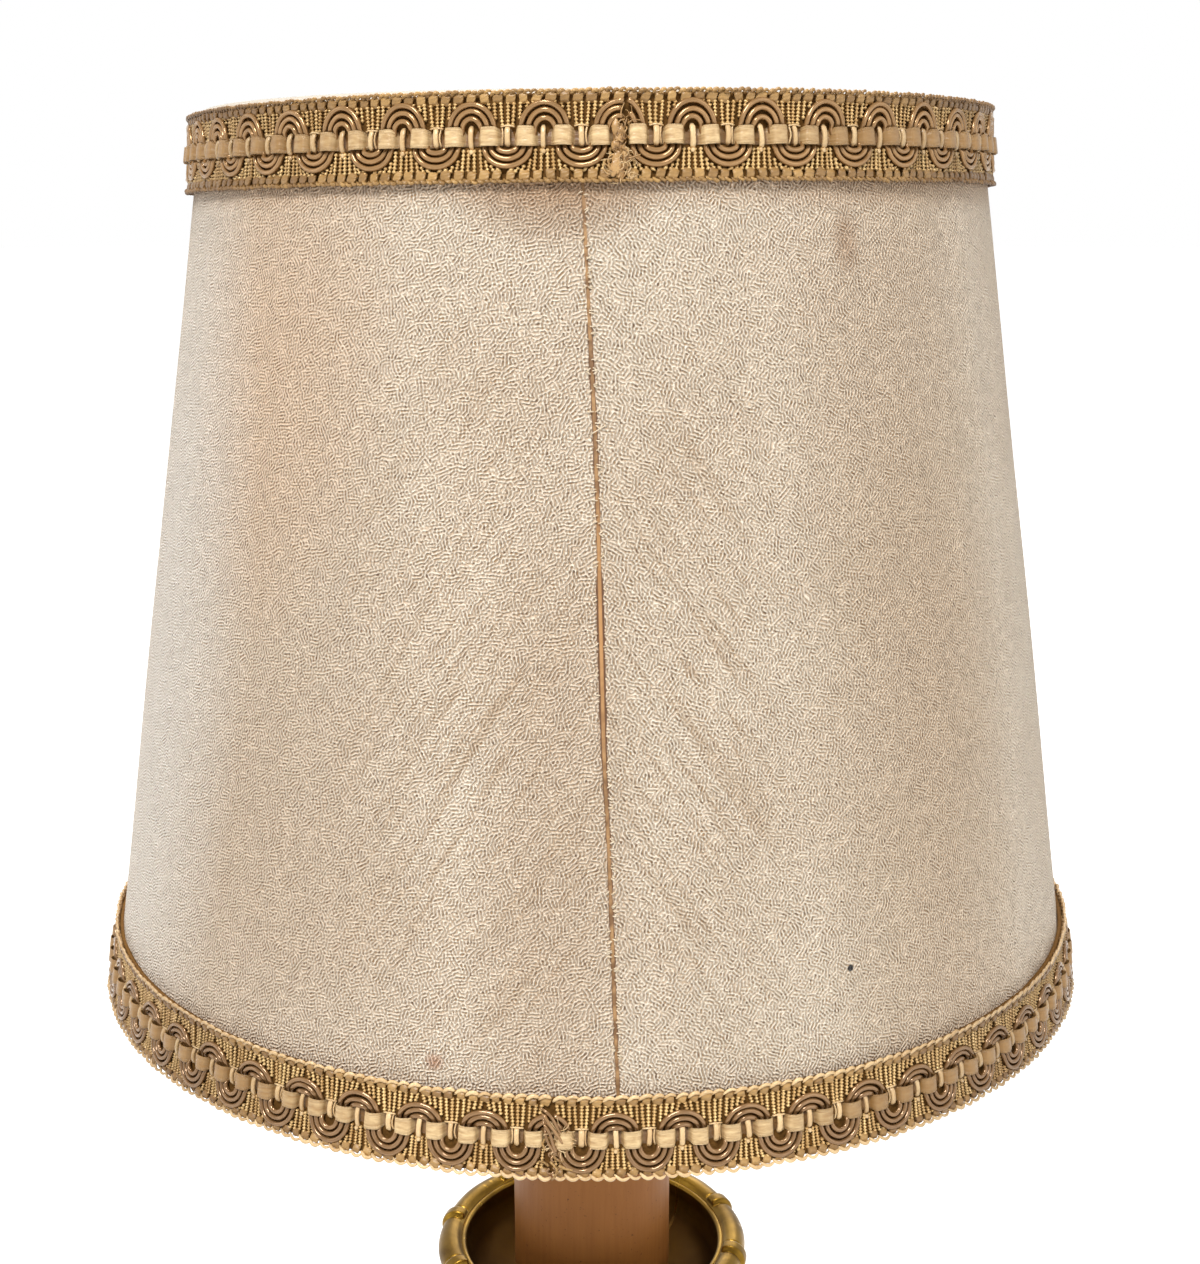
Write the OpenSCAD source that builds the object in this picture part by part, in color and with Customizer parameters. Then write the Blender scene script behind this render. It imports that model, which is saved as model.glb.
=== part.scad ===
// Candle lamp with a tapered fabric shade. Millimetres, +Z up.
// The origin is on the lamp's axis, at the surface that the felt pad rests on.
// The front, with the shade's fabric seam, faces -Y, and the cord inlet faces +Y.

/* [Shade] */
// Height of the shade from edge to edge
shade_h = 180; // [150:1:200]
// Outside diameter of the fabric at the bottom edge
shade_bottom_d = 210.4; // [200:0.1:230]
// Outside diameter of the fabric at the top edge
shade_top_d = 157.6; // [140:0.1:180]
// Height of the shade's bottom edge above the table
shade_z = 230; // [215:1:245]
// Thickness of the fabric
fabric_t = 0.5; // [0.3:0.1:0.8]
// Thickness of the stiff backing that carries the fabric
backing_t = 0.8; // [0.5:0.1:1.2]
// Width of the braid round both edges
braid_w = 15; // [12:0.5:18]
// Height of the braid's ribbon above the fabric
braid_t = 1.8; // [1.4:0.1:2.4]
// Diameter of the frame's wire
wire_d = 2.8; // [2:0.1:3.2]
// Number of wire arms between the bottom ring and the fitter
arm_count = 3; // [3:1:4]

/* [Drip pan] */
// Diameter over the bands of the rolled rim
pan_d = 74.8; // [70:0.1:80]
// Height of the middle of the rolled rim above the table
pan_rim_z = 150; // [145:1:155]
// Depth of the bowl below the middle of the rim
pan_depth = 13; // [10:0.5:16]
// Radius of the rolled rim's tube
pan_roll_r = 3; // [2.5:0.1:3.5]
// Number of raised bands round the rim
pan_band_count = 10; // [8:1:12]
// Angle of the first band from +X
pan_band_phase = 23; // [0:1:36]

/* [Candle sleeve] */
// Outside diameter of the candle sleeve
sleeve_d = 37; // [34:0.5:38]
// Wall of the candle sleeve
sleeve_wall = 2; // [1:0.1:2.5]

/* [Stem] */
// Diameter of the stem between its bands
stem_d = 17; // [16:0.5:20]
// Number of lengths between the stem's bands
stem_lengths = 3; // [2:1:4]
// Diameter of the threaded rod
rod_d = 10; // [8:0.5:10]
// Diameter of the wire way through the rod
rod_bore_d = 7; // [5:0.5:7]

/* [Foot] */
// Diameter over the bands of the foot's rim
foot_d = 118; // [110:1:130]
// Height of the foot's top face
foot_h = 40; // [36:1:46]
// Thickness of the foot's spun wall
foot_wall = 1.5; // [1.2:0.1:2]
// Number of raised bands round the foot's rim
foot_band_count = 16; // [12:1:20]
// Thickness of the felt pad
felt_t = 1.5; // [1:0.1:2]
// Height of the cord inlet's centre
inlet_z = 13.8; // [13.6:0.1:14.4]
// Diameter of the cord inlet
inlet_d = 7; // [6:0.1:7]

/* [Lampholder] */
// Diameter of the lampholder's cap
holder_d = 38; // [38:0.5:40]
// Diameter over the holder's outside thread
holder_thread_d = 39; // [39:0.1:40]
// Outside diameter of the two shade rings
shade_ring_d = 55; // [50:1:58]
// Outside diameter of the shade's fitter washer
fitter_d = 62; // [60:1:66]

/* [Bulb] */
// Largest diameter of the candle bulb
bulb_d = 35; // [33:0.5:36]
// Length of the bulb from its contact to its tip
bulb_h = 100; // [95:1:104]

/* [Hidden] */
$fn = 96;

brass_colour = [0.55, 0.46, 0.24];
steel_colour = [0.66, 0.67, 0.69];
braid_colour = [0.66, 0.52, 0.36];

// A piece of the stem that the rod runs through is bored this much wider than the rod, in radius
rod_gap = 0.2;
rod_hole_r = rod_d / 2 + rod_gap;
// A ring that turns on the holder's thread clears it by this much, in radius
ring_gap = 0.1;
// Gap between the fitter washer and the clamp ring above it
clamp_gap = 0.3;

// Foot
band_rise = 0.8;
band_l = 3;
foot_roll_r = 3.2;
foot_roll_ring_r = foot_d / 2 - band_rise - foot_roll_r;
foot_roll_z = felt_t + foot_roll_r + band_rise;
skirt_r = foot_roll_ring_r - foot_roll_r + 1.2;
skirt_z = foot_roll_z + foot_roll_r - 0.2;
foot_wave_r = 30;
foot_wave_z = 24;
foot_neck_r = 11.5;
bulge_a = skirt_r - foot_wave_r;
bulge_b = foot_wave_z - skirt_z;
felt_r = skirt_r + 1;

// Bush of the cord inlet
bush_wall = 0.8;
bush_l = 10.5;

// Ballast disc, which bears on the inside of the foot's bulge
ballast_top = 12;
ballast_bottom = 5.5;
ballast_r = foot_wave_r + (bulge_a - foot_wall) * sqrt(1 - pow((ballast_top - skirt_z) / (bulge_b - foot_wall), 2));
washer_t = 1;
nut_t = 4;
nut_flats = 14;
nut_pocket_r = 11;
nut_pocket_z = 8;
rod_bottom = 2.2;

// Stem
collar_h = 8;
shaft_z = foot_h + collar_h;
cup_z = 118;
shaft_top = cup_z - collar_h;

// Pan
pan_ring_r = pan_d / 2 - band_rise - pan_roll_r;
pan_wall = 1.5;
pan_floor = pan_rim_z - pan_depth;
pan_flat_r = 19;
seat_h = 9;

// Lampholder
holder_z = shade_z + 20;
cap_h = 22;
thread_z = holder_z + cap_h + 0.3;
thread_top = holder_z + 56;
thread_pitch = 2.6;
thread_depth = 0.6;
insert_z = holder_z + 12;
socket_floor = holder_z + 28;
ring_h = 4.4;
lower_ring_z = holder_z + 22.5;
fitter_z = lower_ring_z + ring_h + 0.1;
fitter_t = 1;
clamp_z = fitter_z + fitter_t + clamp_gap;
screw_circle_r = 10.5;

// Bulb
bulb_z = socket_floor + 2.1;
lamp_pitch = 3.629;
lamp_crest_r = 12.95;
lamp_root_r = 12.1;
neck_z = bulb_z + 23.5;
neck_r = 12;
widest_z = bulb_z + 51;
glass_t = 0.7;

// Shade
arm_r = 1.25;
arm_inner_r = 29.6;
arm_outer_z = shade_z + 2.2;

// Radius of the fabric's outside at height z
function fabric_r(z) = (shade_bottom_d + (shade_top_d - shade_bottom_d) * (z - shade_z) / shade_h) / 2;

// Points along an elliptical arc, centre (x, z), half widths a and b
function arc_points(x, z, a, b, from, to, n = 12) =
    [for (i = [0 : n]) let (t = from + (to - from) * i / n) [x + a * cos(t), z + b * sin(t)]];

// Points up a screw cap's rounded ridges, from z for the given number of turns
function ridge_points(z, turns, pitch, crest, root) =
    [for (i = [0 : 8 * turns]) [(crest + root) / 2 - (crest - root) / 2 * cos(45 * i), z + pitch * i / 8]];

function reversed(points) = [for (i = [len(points) - 1 : -1 : 0]) points[i]];

// The side of the flame-shaped bulb, drawn in by inset
function bulb_side(inset) = concat(
    [for (i = [0 : 10]) [neck_r - inset + (bulb_d / 2 - neck_r) * (1 - cos(18 * i)) / 2,
        neck_z + (widest_z - neck_z) * i / 10]],
    [for (i = [1 : 18]) let (t = 5 * i) [(bulb_d / 2 - inset) * pow(cos(t), 0.9),
        widest_z + (bulb_z + bulb_h - inset - widest_z) * sin(t)]]);

module tube(r_out, r_in, z, h) {
    translate([0, 0, z])
        difference() {
            cylinder(r = r_out, h = h);
            translate([0, 0, -1]) cylinder(r = r_in, h = h + 2);
        }
}

module torus(ring_r, tube_r, z) {
    translate([0, 0, z])
        rotate_extrude()
            translate([ring_r, 0]) circle(r = tube_r);
}

// Raised bands round a rolled rim, like the joints of a cane
module rim_bands(count, phase, ring_r, tube_r, z) {
    top_r = tube_r + band_rise;
    low_r = tube_r + 0.1;
    for (i = [0 : count - 1])
        rotate([0, 0, phase + 360 * i / count])
            translate([ring_r, 0, z])
                rotate([90, 0, 0])
                    rotate_extrude()
                        polygon([[0, -band_l / 2], [low_r, -band_l / 2], [top_r, -band_l / 2 + band_rise],
                            [top_r, band_l / 2 - band_rise], [low_r, band_l / 2], [0, band_l / 2]]);
}

module base_felt() {
    color([0.20, 0.27, 0.20])
        cylinder(r = felt_r, h = felt_t);
}

// Spun brass foot: a banded rim, a skirt, a bell-shaped bulge and a flat neck that the stem stands on
module foot() {
    outside = concat([[skirt_r, felt_t]],
        arc_points(foot_wave_r, skirt_z, bulge_a, bulge_b, 0, 90),
        arc_points(foot_wave_r, foot_h, foot_wave_r - foot_neck_r, foot_h - foot_wave_z, 270, 180));
    inside = concat([[skirt_r - foot_wall, felt_t]],
        arc_points(foot_wave_r, skirt_z, bulge_a - foot_wall, bulge_b - foot_wall, 0, 90),
        arc_points(foot_wave_r, foot_h, foot_wave_r - foot_neck_r + foot_wall,
            foot_h - foot_wave_z + foot_wall, 270, 180));
    color(brass_colour)
        difference() {
            union() {
                rotate_extrude() polygon(concat(outside, reversed(inside)));
                translate([0, 0, foot_h - foot_wall]) cylinder(r = foot_neck_r - 0.4, h = foot_wall);
                difference() {
                    torus(foot_roll_ring_r, foot_roll_r, foot_roll_z);
                    cylinder(r = skirt_r - 0.6, h = foot_h);
                }
                difference() {
                    rim_bands(foot_band_count, 360 / foot_band_count / 2, foot_roll_ring_r, foot_roll_r,
                        foot_roll_z);
                    cylinder(r = skirt_r - 0.6, h = foot_h);
                }
            }
            cylinder(r = rod_hole_r, h = foot_h + 1);
            translate([0, skirt_r + 6, inlet_z])
                rotate([90, 0, 0]) cylinder(d = inlet_d + 2 * bush_wall + 0.1, h = 24);
        }
}

// Cast disc that keeps the lamp from tipping, with a notch and a groove for the cord
module ballast_disc() {
    notch_w = 11;
    notch_y = 32;
    color([0.25, 0.25, 0.26])
        difference() {
            translate([0, 0, ballast_bottom])
                cylinder(r = ballast_r, h = ballast_top - ballast_bottom);
            cylinder(r = rod_hole_r, h = ballast_top + 1);
            cylinder(r = nut_pocket_r, h = nut_pocket_z);
            translate([-notch_w / 2, notch_y, 0]) cube([notch_w, foot_d, ballast_top + 1]);
            translate([-notch_w / 2, 0, ballast_bottom - 1]) cube([notch_w, notch_y + 1, 4]);
        }
}

module rod_washer() {
    color(steel_colour)
        tube(10, rod_hole_r, nut_pocket_z - washer_t, washer_t);
}

// Two thin nuts that clamp the foot, stem and pan between them
module rod_nuts() {
    color(steel_colour)
        for (z = [nut_pocket_z - washer_t - nut_t, pan_floor + seat_h])
            translate([0, 0, z])
                difference() {
                    cylinder(d = nut_flats / cos(30), h = nut_t, $fn = 6);
                    translate([0, 0, -1]) cylinder(r = rod_d / 2 + 0.05, h = nut_t + 2);
                }
}

module threaded_rod() {
    color(steel_colour)
        tube(rod_d / 2, rod_bore_d / 2, rod_bottom, holder_z + 8 - rod_bottom);
}

// Insulating bush in the back of the foot
module cord_bushing() {
    lip_r = 5.05;
    lip_t = 1.6;
    color([0.16, 0.13, 0.10])
        translate([0, skirt_r + 1.5 - bush_l, inlet_z])
            rotate([-90, 0, 0])
                difference() {
                    union() {
                        cylinder(d = inlet_d + 2 * bush_wall, h = bush_l);
                        translate([0, 0, bush_l - lip_t]) cylinder(r = lip_r, h = lip_t);
                    }
                    translate([0, 0, -1]) cylinder(d = inlet_d, h = bush_l + 2);
                }
}

// Turned collar with a half-round bead, its wide face down
module collar() {
    color(brass_colour)
        rotate_extrude()
            polygon(concat([[rod_hole_r, 0]], arc_points(11, 3, 3, 3, -90, 90),
                [[9.9, 6.6], [9.9, collar_h], [rod_hole_r, collar_h]]));
}

module stem_collar_lower() {
    translate([0, 0, foot_h]) collar();
}

module stem_collar_upper() {
    translate([0, 0, cup_z]) mirror([0, 0, 1]) collar();
}

// Cane-like shaft: slightly barrelled lengths with a raised band between each two
module stem_shaft() {
    pitch = (shaft_top - shaft_z + band_l) / stem_lengths;
    side = [for (k = [0 : stem_lengths - 1])
        let (z = shaft_z + pitch * k, length = pitch - band_l, last = k == stem_lengths - 1)
        each concat(
            [for (i = [0 : 8]) [stem_d / 2 - 0.4 + 0.4 * sin(22.5 * i), z + length * i / 8]],
            last ? [] : [[stem_d / 2 + 0.5, z + length + 0.5], [stem_d / 2 + 0.5, z + pitch - 0.5]])];
    color(brass_colour)
        rotate_extrude()
            polygon(concat([[rod_hole_r, shaft_z]], side, [[rod_hole_r, shaft_top]]));
}

// Turned cup that spreads from the stem to the underside of the pan
module pan_cup() {
    top = pan_floor - pan_wall;
    plate = 2.5;
    color(brass_colour)
        rotate_extrude()
            polygon(concat([[rod_hole_r, cup_z]], arc_points(9.8, cup_z + 2, 1.6, 2, -90, 90),
                arc_points(17, cup_z + 4, 7.2, top - plate - cup_z - 4, 180, 90),
                [[17, top], [rod_hole_r, top]]));
}

// Spun bowl with a rolled, banded rim and a thin lip inside it
module drip_pan() {
    bowl_a = pan_ring_r - pan_roll_r - pan_flat_r;
    bowl_z = pan_rim_z - 1;
    bowl_b = bowl_z - pan_floor;
    inside = arc_points(pan_flat_r, bowl_z, bowl_a, bowl_b, -90, 0);
    outside = arc_points(pan_flat_r, bowl_z, bowl_a + pan_wall, bowl_b + pan_wall, -90, 0);
    color(brass_colour)
        union() {
            rotate_extrude()
                polygon(concat([[rod_hole_r, pan_floor - pan_wall]], outside, reversed(inside),
                    [[rod_hole_r, pan_floor]]));
            torus(pan_ring_r, pan_roll_r, pan_rim_z);
            torus(pan_ring_r - pan_roll_r + 0.3, 0.8, pan_rim_z + 1.2);
            difference() {
                rim_bands(pan_band_count, pan_band_phase, pan_ring_r, pan_roll_r, pan_rim_z);
                cylinder(r = pan_ring_r - pan_roll_r + 1.5, h = pan_rim_z + 10);
            }
        }
}

// Spigot that centres the sleeve on the rod
module sleeve_seat() {
    color(brass_colour)
        tube(sleeve_d / 2 - sleeve_wall - 0.1, rod_hole_r, pan_floor, seat_h);
}

module candle_sleeve() {
    color([0.53, 0.35, 0.20])
        tube(sleeve_d / 2, sleeve_d / 2 - sleeve_wall, pan_floor, holder_z - pan_floor);
}

module holder_cap() {
    wall = 1.2;
    r = holder_d / 2;
    corner = 5;
    boss_r = 7.5;
    boss_h = 9;
    color(brass_colour)
        rotate_extrude()
            translate([0, holder_z])
                polygon(concat([[rod_d / 2 + 0.05, 0]], arc_points(r - corner, corner, corner, corner, -90, 0),
                    [[r, cap_h], [r - wall, cap_h]],
                    arc_points(r - corner, corner, corner - wall, corner - wall, 0, -90),
                    [[boss_r, wall], [boss_r, boss_h], [rod_d / 2 + 0.05, boss_h]]));
}

// Outside-threaded shell that screws into the cap and carries the two shade rings
module holder_shell() {
    r = holder_thread_d / 2;
    inner_r = 16.6;
    skirt_out = holder_d / 2 - 1.3;
    turns = floor((thread_top - thread_z - 3) / thread_pitch);
    ridges = [for (i = [0 : turns - 1]) each [
        [r - thread_depth, thread_z + 1 + thread_pitch * i],
        [r, thread_z + 1 + thread_pitch * (i + 0.35)],
        [r, thread_z + 1 + thread_pitch * (i + 0.65)]]];
    color(brass_colour)
        rotate_extrude()
            polygon(concat([[inner_r, thread_z - 6], [skirt_out, thread_z - 6], [skirt_out, thread_z],
                [r - thread_depth, thread_z]], ridges,
                [[r - thread_depth, thread_z + 1 + thread_pitch * turns], [r - thread_depth, thread_top - 0.6],
                [r - thread_depth - 0.6, thread_top], [15.2, thread_top], [15.2, thread_top - 1.5],
                [inner_r, thread_top - 1.5]]));
}

// Moulded body that carries the contacts
module holder_insert() {
    color([0.20, 0.13, 0.10])
        difference() {
            translate([0, 0, insert_z]) cylinder(r = 16, h = thread_top - 1.8 - insert_z);
            translate([0, 0, socket_floor]) cylinder(r = 14.7, h = 40);
            for (a = [30, 150, 270])
                rotate([0, 0, a])
                    translate([screw_circle_r, 0, insert_z - 1]) cylinder(r = 1.55, h = 9);
        }
}

// Screw shell that takes the bulb's cap
module contact_shell() {
    turns = 6;
    wall = 0.45;
    z = socket_floor + 2.8;
    bore = ridge_points(z, turns, lamp_pitch, lamp_crest_r + 1.05, lamp_crest_r + 0.15);
    color([0.80, 0.66, 0.36])
        rotate_extrude()
            polygon(concat(bore, reversed([for (p = bore) [p[0] + wall, p[1]]])));
}

// Spring tongue under the bulb's tip
module centre_contact() {
    width = 6;
    color([0.80, 0.66, 0.36])
        translate([0, width / 2, socket_floor])
            rotate([90, 0, 0])
                linear_extrude(width)
                    polygon([[-10, 0], [-4.6, 0], [-2.2, 1.5], [2.6, 1.5], [4, 0.9], [4, 1.4], [2.8, 2],
                        [-2.4, 2], [-4.8, 0.5], [-10, 0.5]]);
}

// Strip that joins the screw shell to its terminal
module side_contact() {
    color([0.80, 0.66, 0.36])
        translate([0, 0, socket_floor])
            union() {
                translate([8, -2.5, 0]) cube([6.3, 5, 0.5]);
                translate([13.7, -2.5, 0]) cube([0.6, 5, 2.7]);
            }
}

module terminal_screws() {
    color(steel_colour)
        for (a = [30, 150, 270])
            rotate([0, 0, a])
                translate([screw_circle_r, 0, insert_z])
                    difference() {
                        union() {
                            translate([0, 0, -2.2]) cylinder(r = 2.6, h = 2.2);
                            cylinder(r = 1.5, h = 7);
                        }
                        translate([-3, -0.3, -3]) cube([6, 0.6, 1.6]);
                    }
}

// Shade ring with finger notches, its flat clamping face up at height zero
module shade_ring() {
    r = shade_ring_d / 2;
    color(brass_colour)
        difference() {
            rotate_extrude()
                polygon([[holder_thread_d / 2 + ring_gap, -ring_h], [23.5, -ring_h], [r, -1.8], [r, 0],
                    [holder_thread_d / 2 + ring_gap, 0]]);
            for (i = [0 : 17])
                rotate([0, 0, 20 * i])
                    translate([r + 1.2, 0, -ring_h - 1]) cylinder(r = 2, h = ring_h + 2);
        }
}

module lower_shade_ring() {
    translate([0, 0, lower_ring_z + ring_h]) shade_ring();
}

module clamp_ring() {
    translate([0, 0, clamp_z]) mirror([0, 0, 1]) shade_ring();
}

module fitter_ring() {
    color(steel_colour)
        tube(fitter_d / 2, holder_thread_d / 2 + 1.1, fitter_z, fitter_t);
}

bottom_ring_r = fabric_r(arm_outer_z) - fabric_t - backing_t - wire_d / 2 - 0.1;
top_ring_z = shade_z + shade_h - 2.2;
top_ring_r = fabric_r(top_ring_z) - fabric_t - backing_t - wire_d / 2 - 0.1;

// Straight wires welded between the fitter washer and the bottom ring
module fitter_arms() {
    run = bottom_ring_r - arm_inner_r;
    drop = fitter_z + fitter_t / 2 - arm_outer_z;
    color(steel_colour)
        difference() {
            for (i = [0 : arm_count - 1])
                rotate([0, 0, 90 + 360 * i / arm_count])
                    translate([arm_inner_r, 0, fitter_z + fitter_t / 2])
                        rotate([0, 90 + atan(drop / run), 0])
                            cylinder(r = arm_r, h = sqrt(run * run + drop * drop));
            fitter_ring();
            bottom_wire_ring();
        }
}

module bottom_wire_ring() {
    color(steel_colour)
        torus(bottom_ring_r, wire_d / 2, arm_outer_z);
}

module top_wire_ring() {
    color(steel_colour)
        torus(top_ring_r, wire_d / 2, top_ring_z);
}

// Cone wall between two depths under the fabric's outside
module cone_wall(from, to, z, h) {
    rotate_extrude()
        polygon([[fabric_r(z) - from, z], [fabric_r(z) - to, z], [fabric_r(z + h) - to, z + h],
            [fabric_r(z + h) - from, z + h]]);
}

module shade_backing() {
    color([0.93, 0.91, 0.86])
        cone_wall(fabric_t + backing_t, fabric_t, shade_z, shade_h);
}

module shade_fabric() {
    color([0.84, 0.76, 0.66])
        cone_wall(fabric_t, 0, shade_z, shade_h);
}

// Flat braid round an edge: its ground and the raised ribbon along its middle
module braid(z) {
    ground = 1;
    low = braid_w * 0.36;
    high = braid_w * 0.58;
    side = [[0, 0], [ground - 0.3, 0], [ground, 0.5], [ground, low], [braid_t, low + 0.6],
        [braid_t, high - 0.6], [ground, high], [ground, braid_w - 0.5], [ground - 0.3, braid_w],
        [0, braid_w]];
    color(braid_colour)
        rotate_extrude()
            polygon([for (p = side) [fabric_r(z + p[1]) + p[0], z + p[1]]]);
}

module bottom_braid() {
    braid(shade_z);
}

module top_braid() {
    braid(shade_z + shade_h - braid_w);
}

module bulb_contact() {
    color(steel_colour)
        translate([0, 0, bulb_z])
            cylinder(r = 4.8, h = 1.3);
}

module bulb_insulator() {
    color([0.06, 0.06, 0.08])
        translate([0, 0, bulb_z + 1.3])
            cylinder(r1 = 5.6, r2 = lamp_root_r - 0.6, h = 2.6);
}

module bulb_cap() {
    turns = 5;
    wall = 0.4;
    z = bulb_z + 3.9;
    top = neck_z + 0.5;
    side = concat(ridge_points(z, turns, lamp_pitch, lamp_crest_r, lamp_root_r), [[lamp_root_r + 0.3, top]]);
    color([0.78, 0.78, 0.80])
        rotate_extrude()
            polygon(concat([[0, z]], side, reversed([for (p = side) [p[0] - wall, max(p[1], z + wall)]]),
                [[0, z + wall]]));
}

module bulb_glass() {
    outside = bulb_side(0.4);
    inside = bulb_side(0.4 + glass_t);
    color([0.92, 0.95, 0.97, 0.35])
        rotate_extrude()
            polygon(concat(outside, reversed(inside)));
}

// Glass mount inside the bulb
module bulb_stem() {
    color([0.85, 0.90, 0.92, 0.6])
        rotate_extrude()
            polygon(concat([[0, neck_z - 2]], [[8, neck_z - 2], [7.4, neck_z + 1]],
                arc_points(7.4, neck_z + 14, 4.6, 13, 270, 180), [[2.8, neck_z + 22], [0, neck_z + 23]]));
}

// Four light strips that stand in a ring round the mount
module bulb_filament() {
    color([0.95, 0.80, 0.35])
        for (i = [0 : 3])
            rotate([0, 0, 45 + 90 * i])
                translate([4.6, 0, neck_z + 16])
                    rotate([0, 4, 0]) cylinder(r = 0.8, h = 30);
}

base_felt();
foot();
ballast_disc();
rod_washer();
rod_nuts();
threaded_rod();
cord_bushing();
stem_collar_lower();
stem_shaft();
stem_collar_upper();
pan_cup();
drip_pan();
sleeve_seat();
candle_sleeve();
holder_cap();
holder_shell();
holder_insert();
contact_shell();
centre_contact();
side_contact();
terminal_screws();
lower_shade_ring();
clamp_ring();
fitter_ring();
fitter_arms();
bottom_wire_ring();
top_wire_ring();
shade_backing();
shade_fabric();
bottom_braid();
top_braid();
bulb_contact();
bulb_insulator();
bulb_cap();
bulb_stem();
bulb_filament();
bulb_glass();
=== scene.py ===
"""Candle lamp with a tapered crepe shade, gimp braid, a candle sleeve and a banded brass drip pan."""

import math

import bpy
import numpy as np
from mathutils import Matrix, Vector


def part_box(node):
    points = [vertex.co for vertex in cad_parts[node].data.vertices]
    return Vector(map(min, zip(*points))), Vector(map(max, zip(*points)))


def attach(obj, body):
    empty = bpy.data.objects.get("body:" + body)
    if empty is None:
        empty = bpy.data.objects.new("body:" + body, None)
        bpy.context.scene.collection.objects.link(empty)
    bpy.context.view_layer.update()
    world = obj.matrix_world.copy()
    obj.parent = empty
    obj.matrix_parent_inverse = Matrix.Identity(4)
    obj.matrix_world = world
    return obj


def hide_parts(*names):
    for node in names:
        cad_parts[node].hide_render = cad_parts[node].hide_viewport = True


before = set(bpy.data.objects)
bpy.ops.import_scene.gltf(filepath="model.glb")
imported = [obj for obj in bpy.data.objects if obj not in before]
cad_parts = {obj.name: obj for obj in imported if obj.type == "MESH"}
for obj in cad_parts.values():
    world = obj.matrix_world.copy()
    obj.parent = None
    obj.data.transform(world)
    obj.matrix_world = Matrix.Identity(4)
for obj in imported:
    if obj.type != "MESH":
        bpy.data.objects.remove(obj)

bl_info = {
    "name": "Candle Lamp With Shade",
    "version": (1, 0, 0),
    "blender": (4, 5, 0),
    "location": "View3D > Sidebar > Candle Lamp",
    "description": "Dresses a packed candle lamp with crepe, gimp braid, candle sleeve and aged brass",
    "category": "Object",
}

MM = 0.001
TAU = 2 * math.pi

# Photograph's frame, and the camera that was fitted to the shade's two rims
PHOTO_SIZE = (1200, 1264)
FOCAL_PX = 1740.6
SENSOR = 36.0
CAMERA_DISTANCE = 0.3751
CAMERA_UP_SHADE = 0.1585
CAMERA_PITCH_DOWN = 0.2304
CAMERA_ROLL = -0.0052

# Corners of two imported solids, and the lower edge and the height of the shade, in metres
SHADE_LOW, SHADE_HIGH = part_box("shade_fabric")
SLEEVE_LOW, SLEEVE_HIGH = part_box("candle_sleeve")
SHADE_Z = SHADE_LOW.z
SHADE_H = SHADE_HIGH.z - SHADE_LOW.z


def length(name, description, default):
    return bpy.props.FloatProperty(name=name, description=description, default=default, unit="LENGTH")


def tint(name, description, default):
    return bpy.props.FloatVectorProperty(
        name=name, description=description, default=default, subtype="COLOR_GAMMA")


class LampSizes(bpy.types.PropertyGroup):
    """Sizes of the lamp's dressed pieces"""

    bottom_radius: length("Bottom radius", "Radius of the fabric at the shade's bottom edge", 0.1052)
    top_radius: length("Top radius", "Radius of the fabric at the shade's top edge", 0.0788)
    seam_gap: length("Seam gap", "Half width of the slit where the fabric's two ends meet", 0.00006)
    rim_lean: length("Rim lean", "How much higher the top rim is on the right than in the middle", 0.0011)
    cord_radius: length("Cord radius", "Radius of each of the braid's three winding cords", 0.00043)
    thread_radius: length("Thread radius", "Radius of the braid's beaded threads between beads", 0.00015)
    band_rise: length("Band rise", "Height of the raised bands on the drip pan's rim", 0.0008)


class LampColours(bpy.types.PropertyGroup):
    """Colours of the lamp's finishes, as seen on a screen"""

    crepe: tint("Crepe", "Crests of the cream crepe", (0.990, 0.935, 0.855))
    # The pits' colour is painted shade in the small hollows of the crepe.
    crepe_pit: tint("Crepe pits", "Small pits between the crepe's ridges", (0.45, 0.32, 0.20))
    cord: tint("Braid cord", "Taupe satin of the bottom braid's winding cords", (0.62, 0.47, 0.30))
    ribbon: tint("Braid ribbon", "Pale gold satin of the flat ribbon", (0.88, 0.765, 0.57))
    thread: tint("Braid thread", "Gold of the satin ends and the top edge's loops", (0.79, 0.63, 0.39))
    ground: tint("Braid ground", "Olive brown cloth behind the threads", (0.46, 0.32, 0.14))
    brass: tint("Brass", "Worn brass of the pan, stem and foot", (0.58, 0.45, 0.17))
    tarnish: tint("Tarnish", "Brown film on the brass", (0.30, 0.21, 0.07))
    sleeve: tint("Candle sleeve", "Tan brown of the candle sleeve", (0.66, 0.425, 0.195))


def sizes():
    return bpy.context.scene.lamp_sizes


def colour(name):
    """One of the named colours, as seen on a screen."""
    return tuple(getattr(bpy.context.scene.lamp_colours, name))


def linear(values):
    """Colour values as seen on a screen, turned into a shader's linear RGBA."""
    return tuple(v / 12.92 if v < 0.04045 else ((v + 0.055) / 1.055) ** 2.4 for v in values) + (1.0,)


# Shader helpers


class Field:
    """One result of a shader node. Plain arithmetic on it adds math nodes to the same tree."""

    def __init__(self, socket):
        self.socket = socket

    def also(self, output):
        """Another result of the same node."""
        return Field(self.socket.node.outputs[output])

    def __add__(self, other):
        return reckon("ADD", self, other)

    def __radd__(self, other):
        return reckon("ADD", other, self)

    def __sub__(self, other):
        return reckon("SUBTRACT", self, other)

    def __rsub__(self, other):
        return reckon("SUBTRACT", other, self)

    def __mul__(self, other):
        return reckon("MULTIPLY", self, other)

    def __truediv__(self, other):
        return reckon("DIVIDE", self, other)

    def __rtruediv__(self, other):
        return reckon("DIVIDE", other, self)


def put(socket, value):
    """Joins a field to an input socket, or sets a plain value there."""
    if isinstance(value, Field):
        socket.id_data.links.new(value.socket, socket)
    else:
        socket.default_value = value


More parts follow.
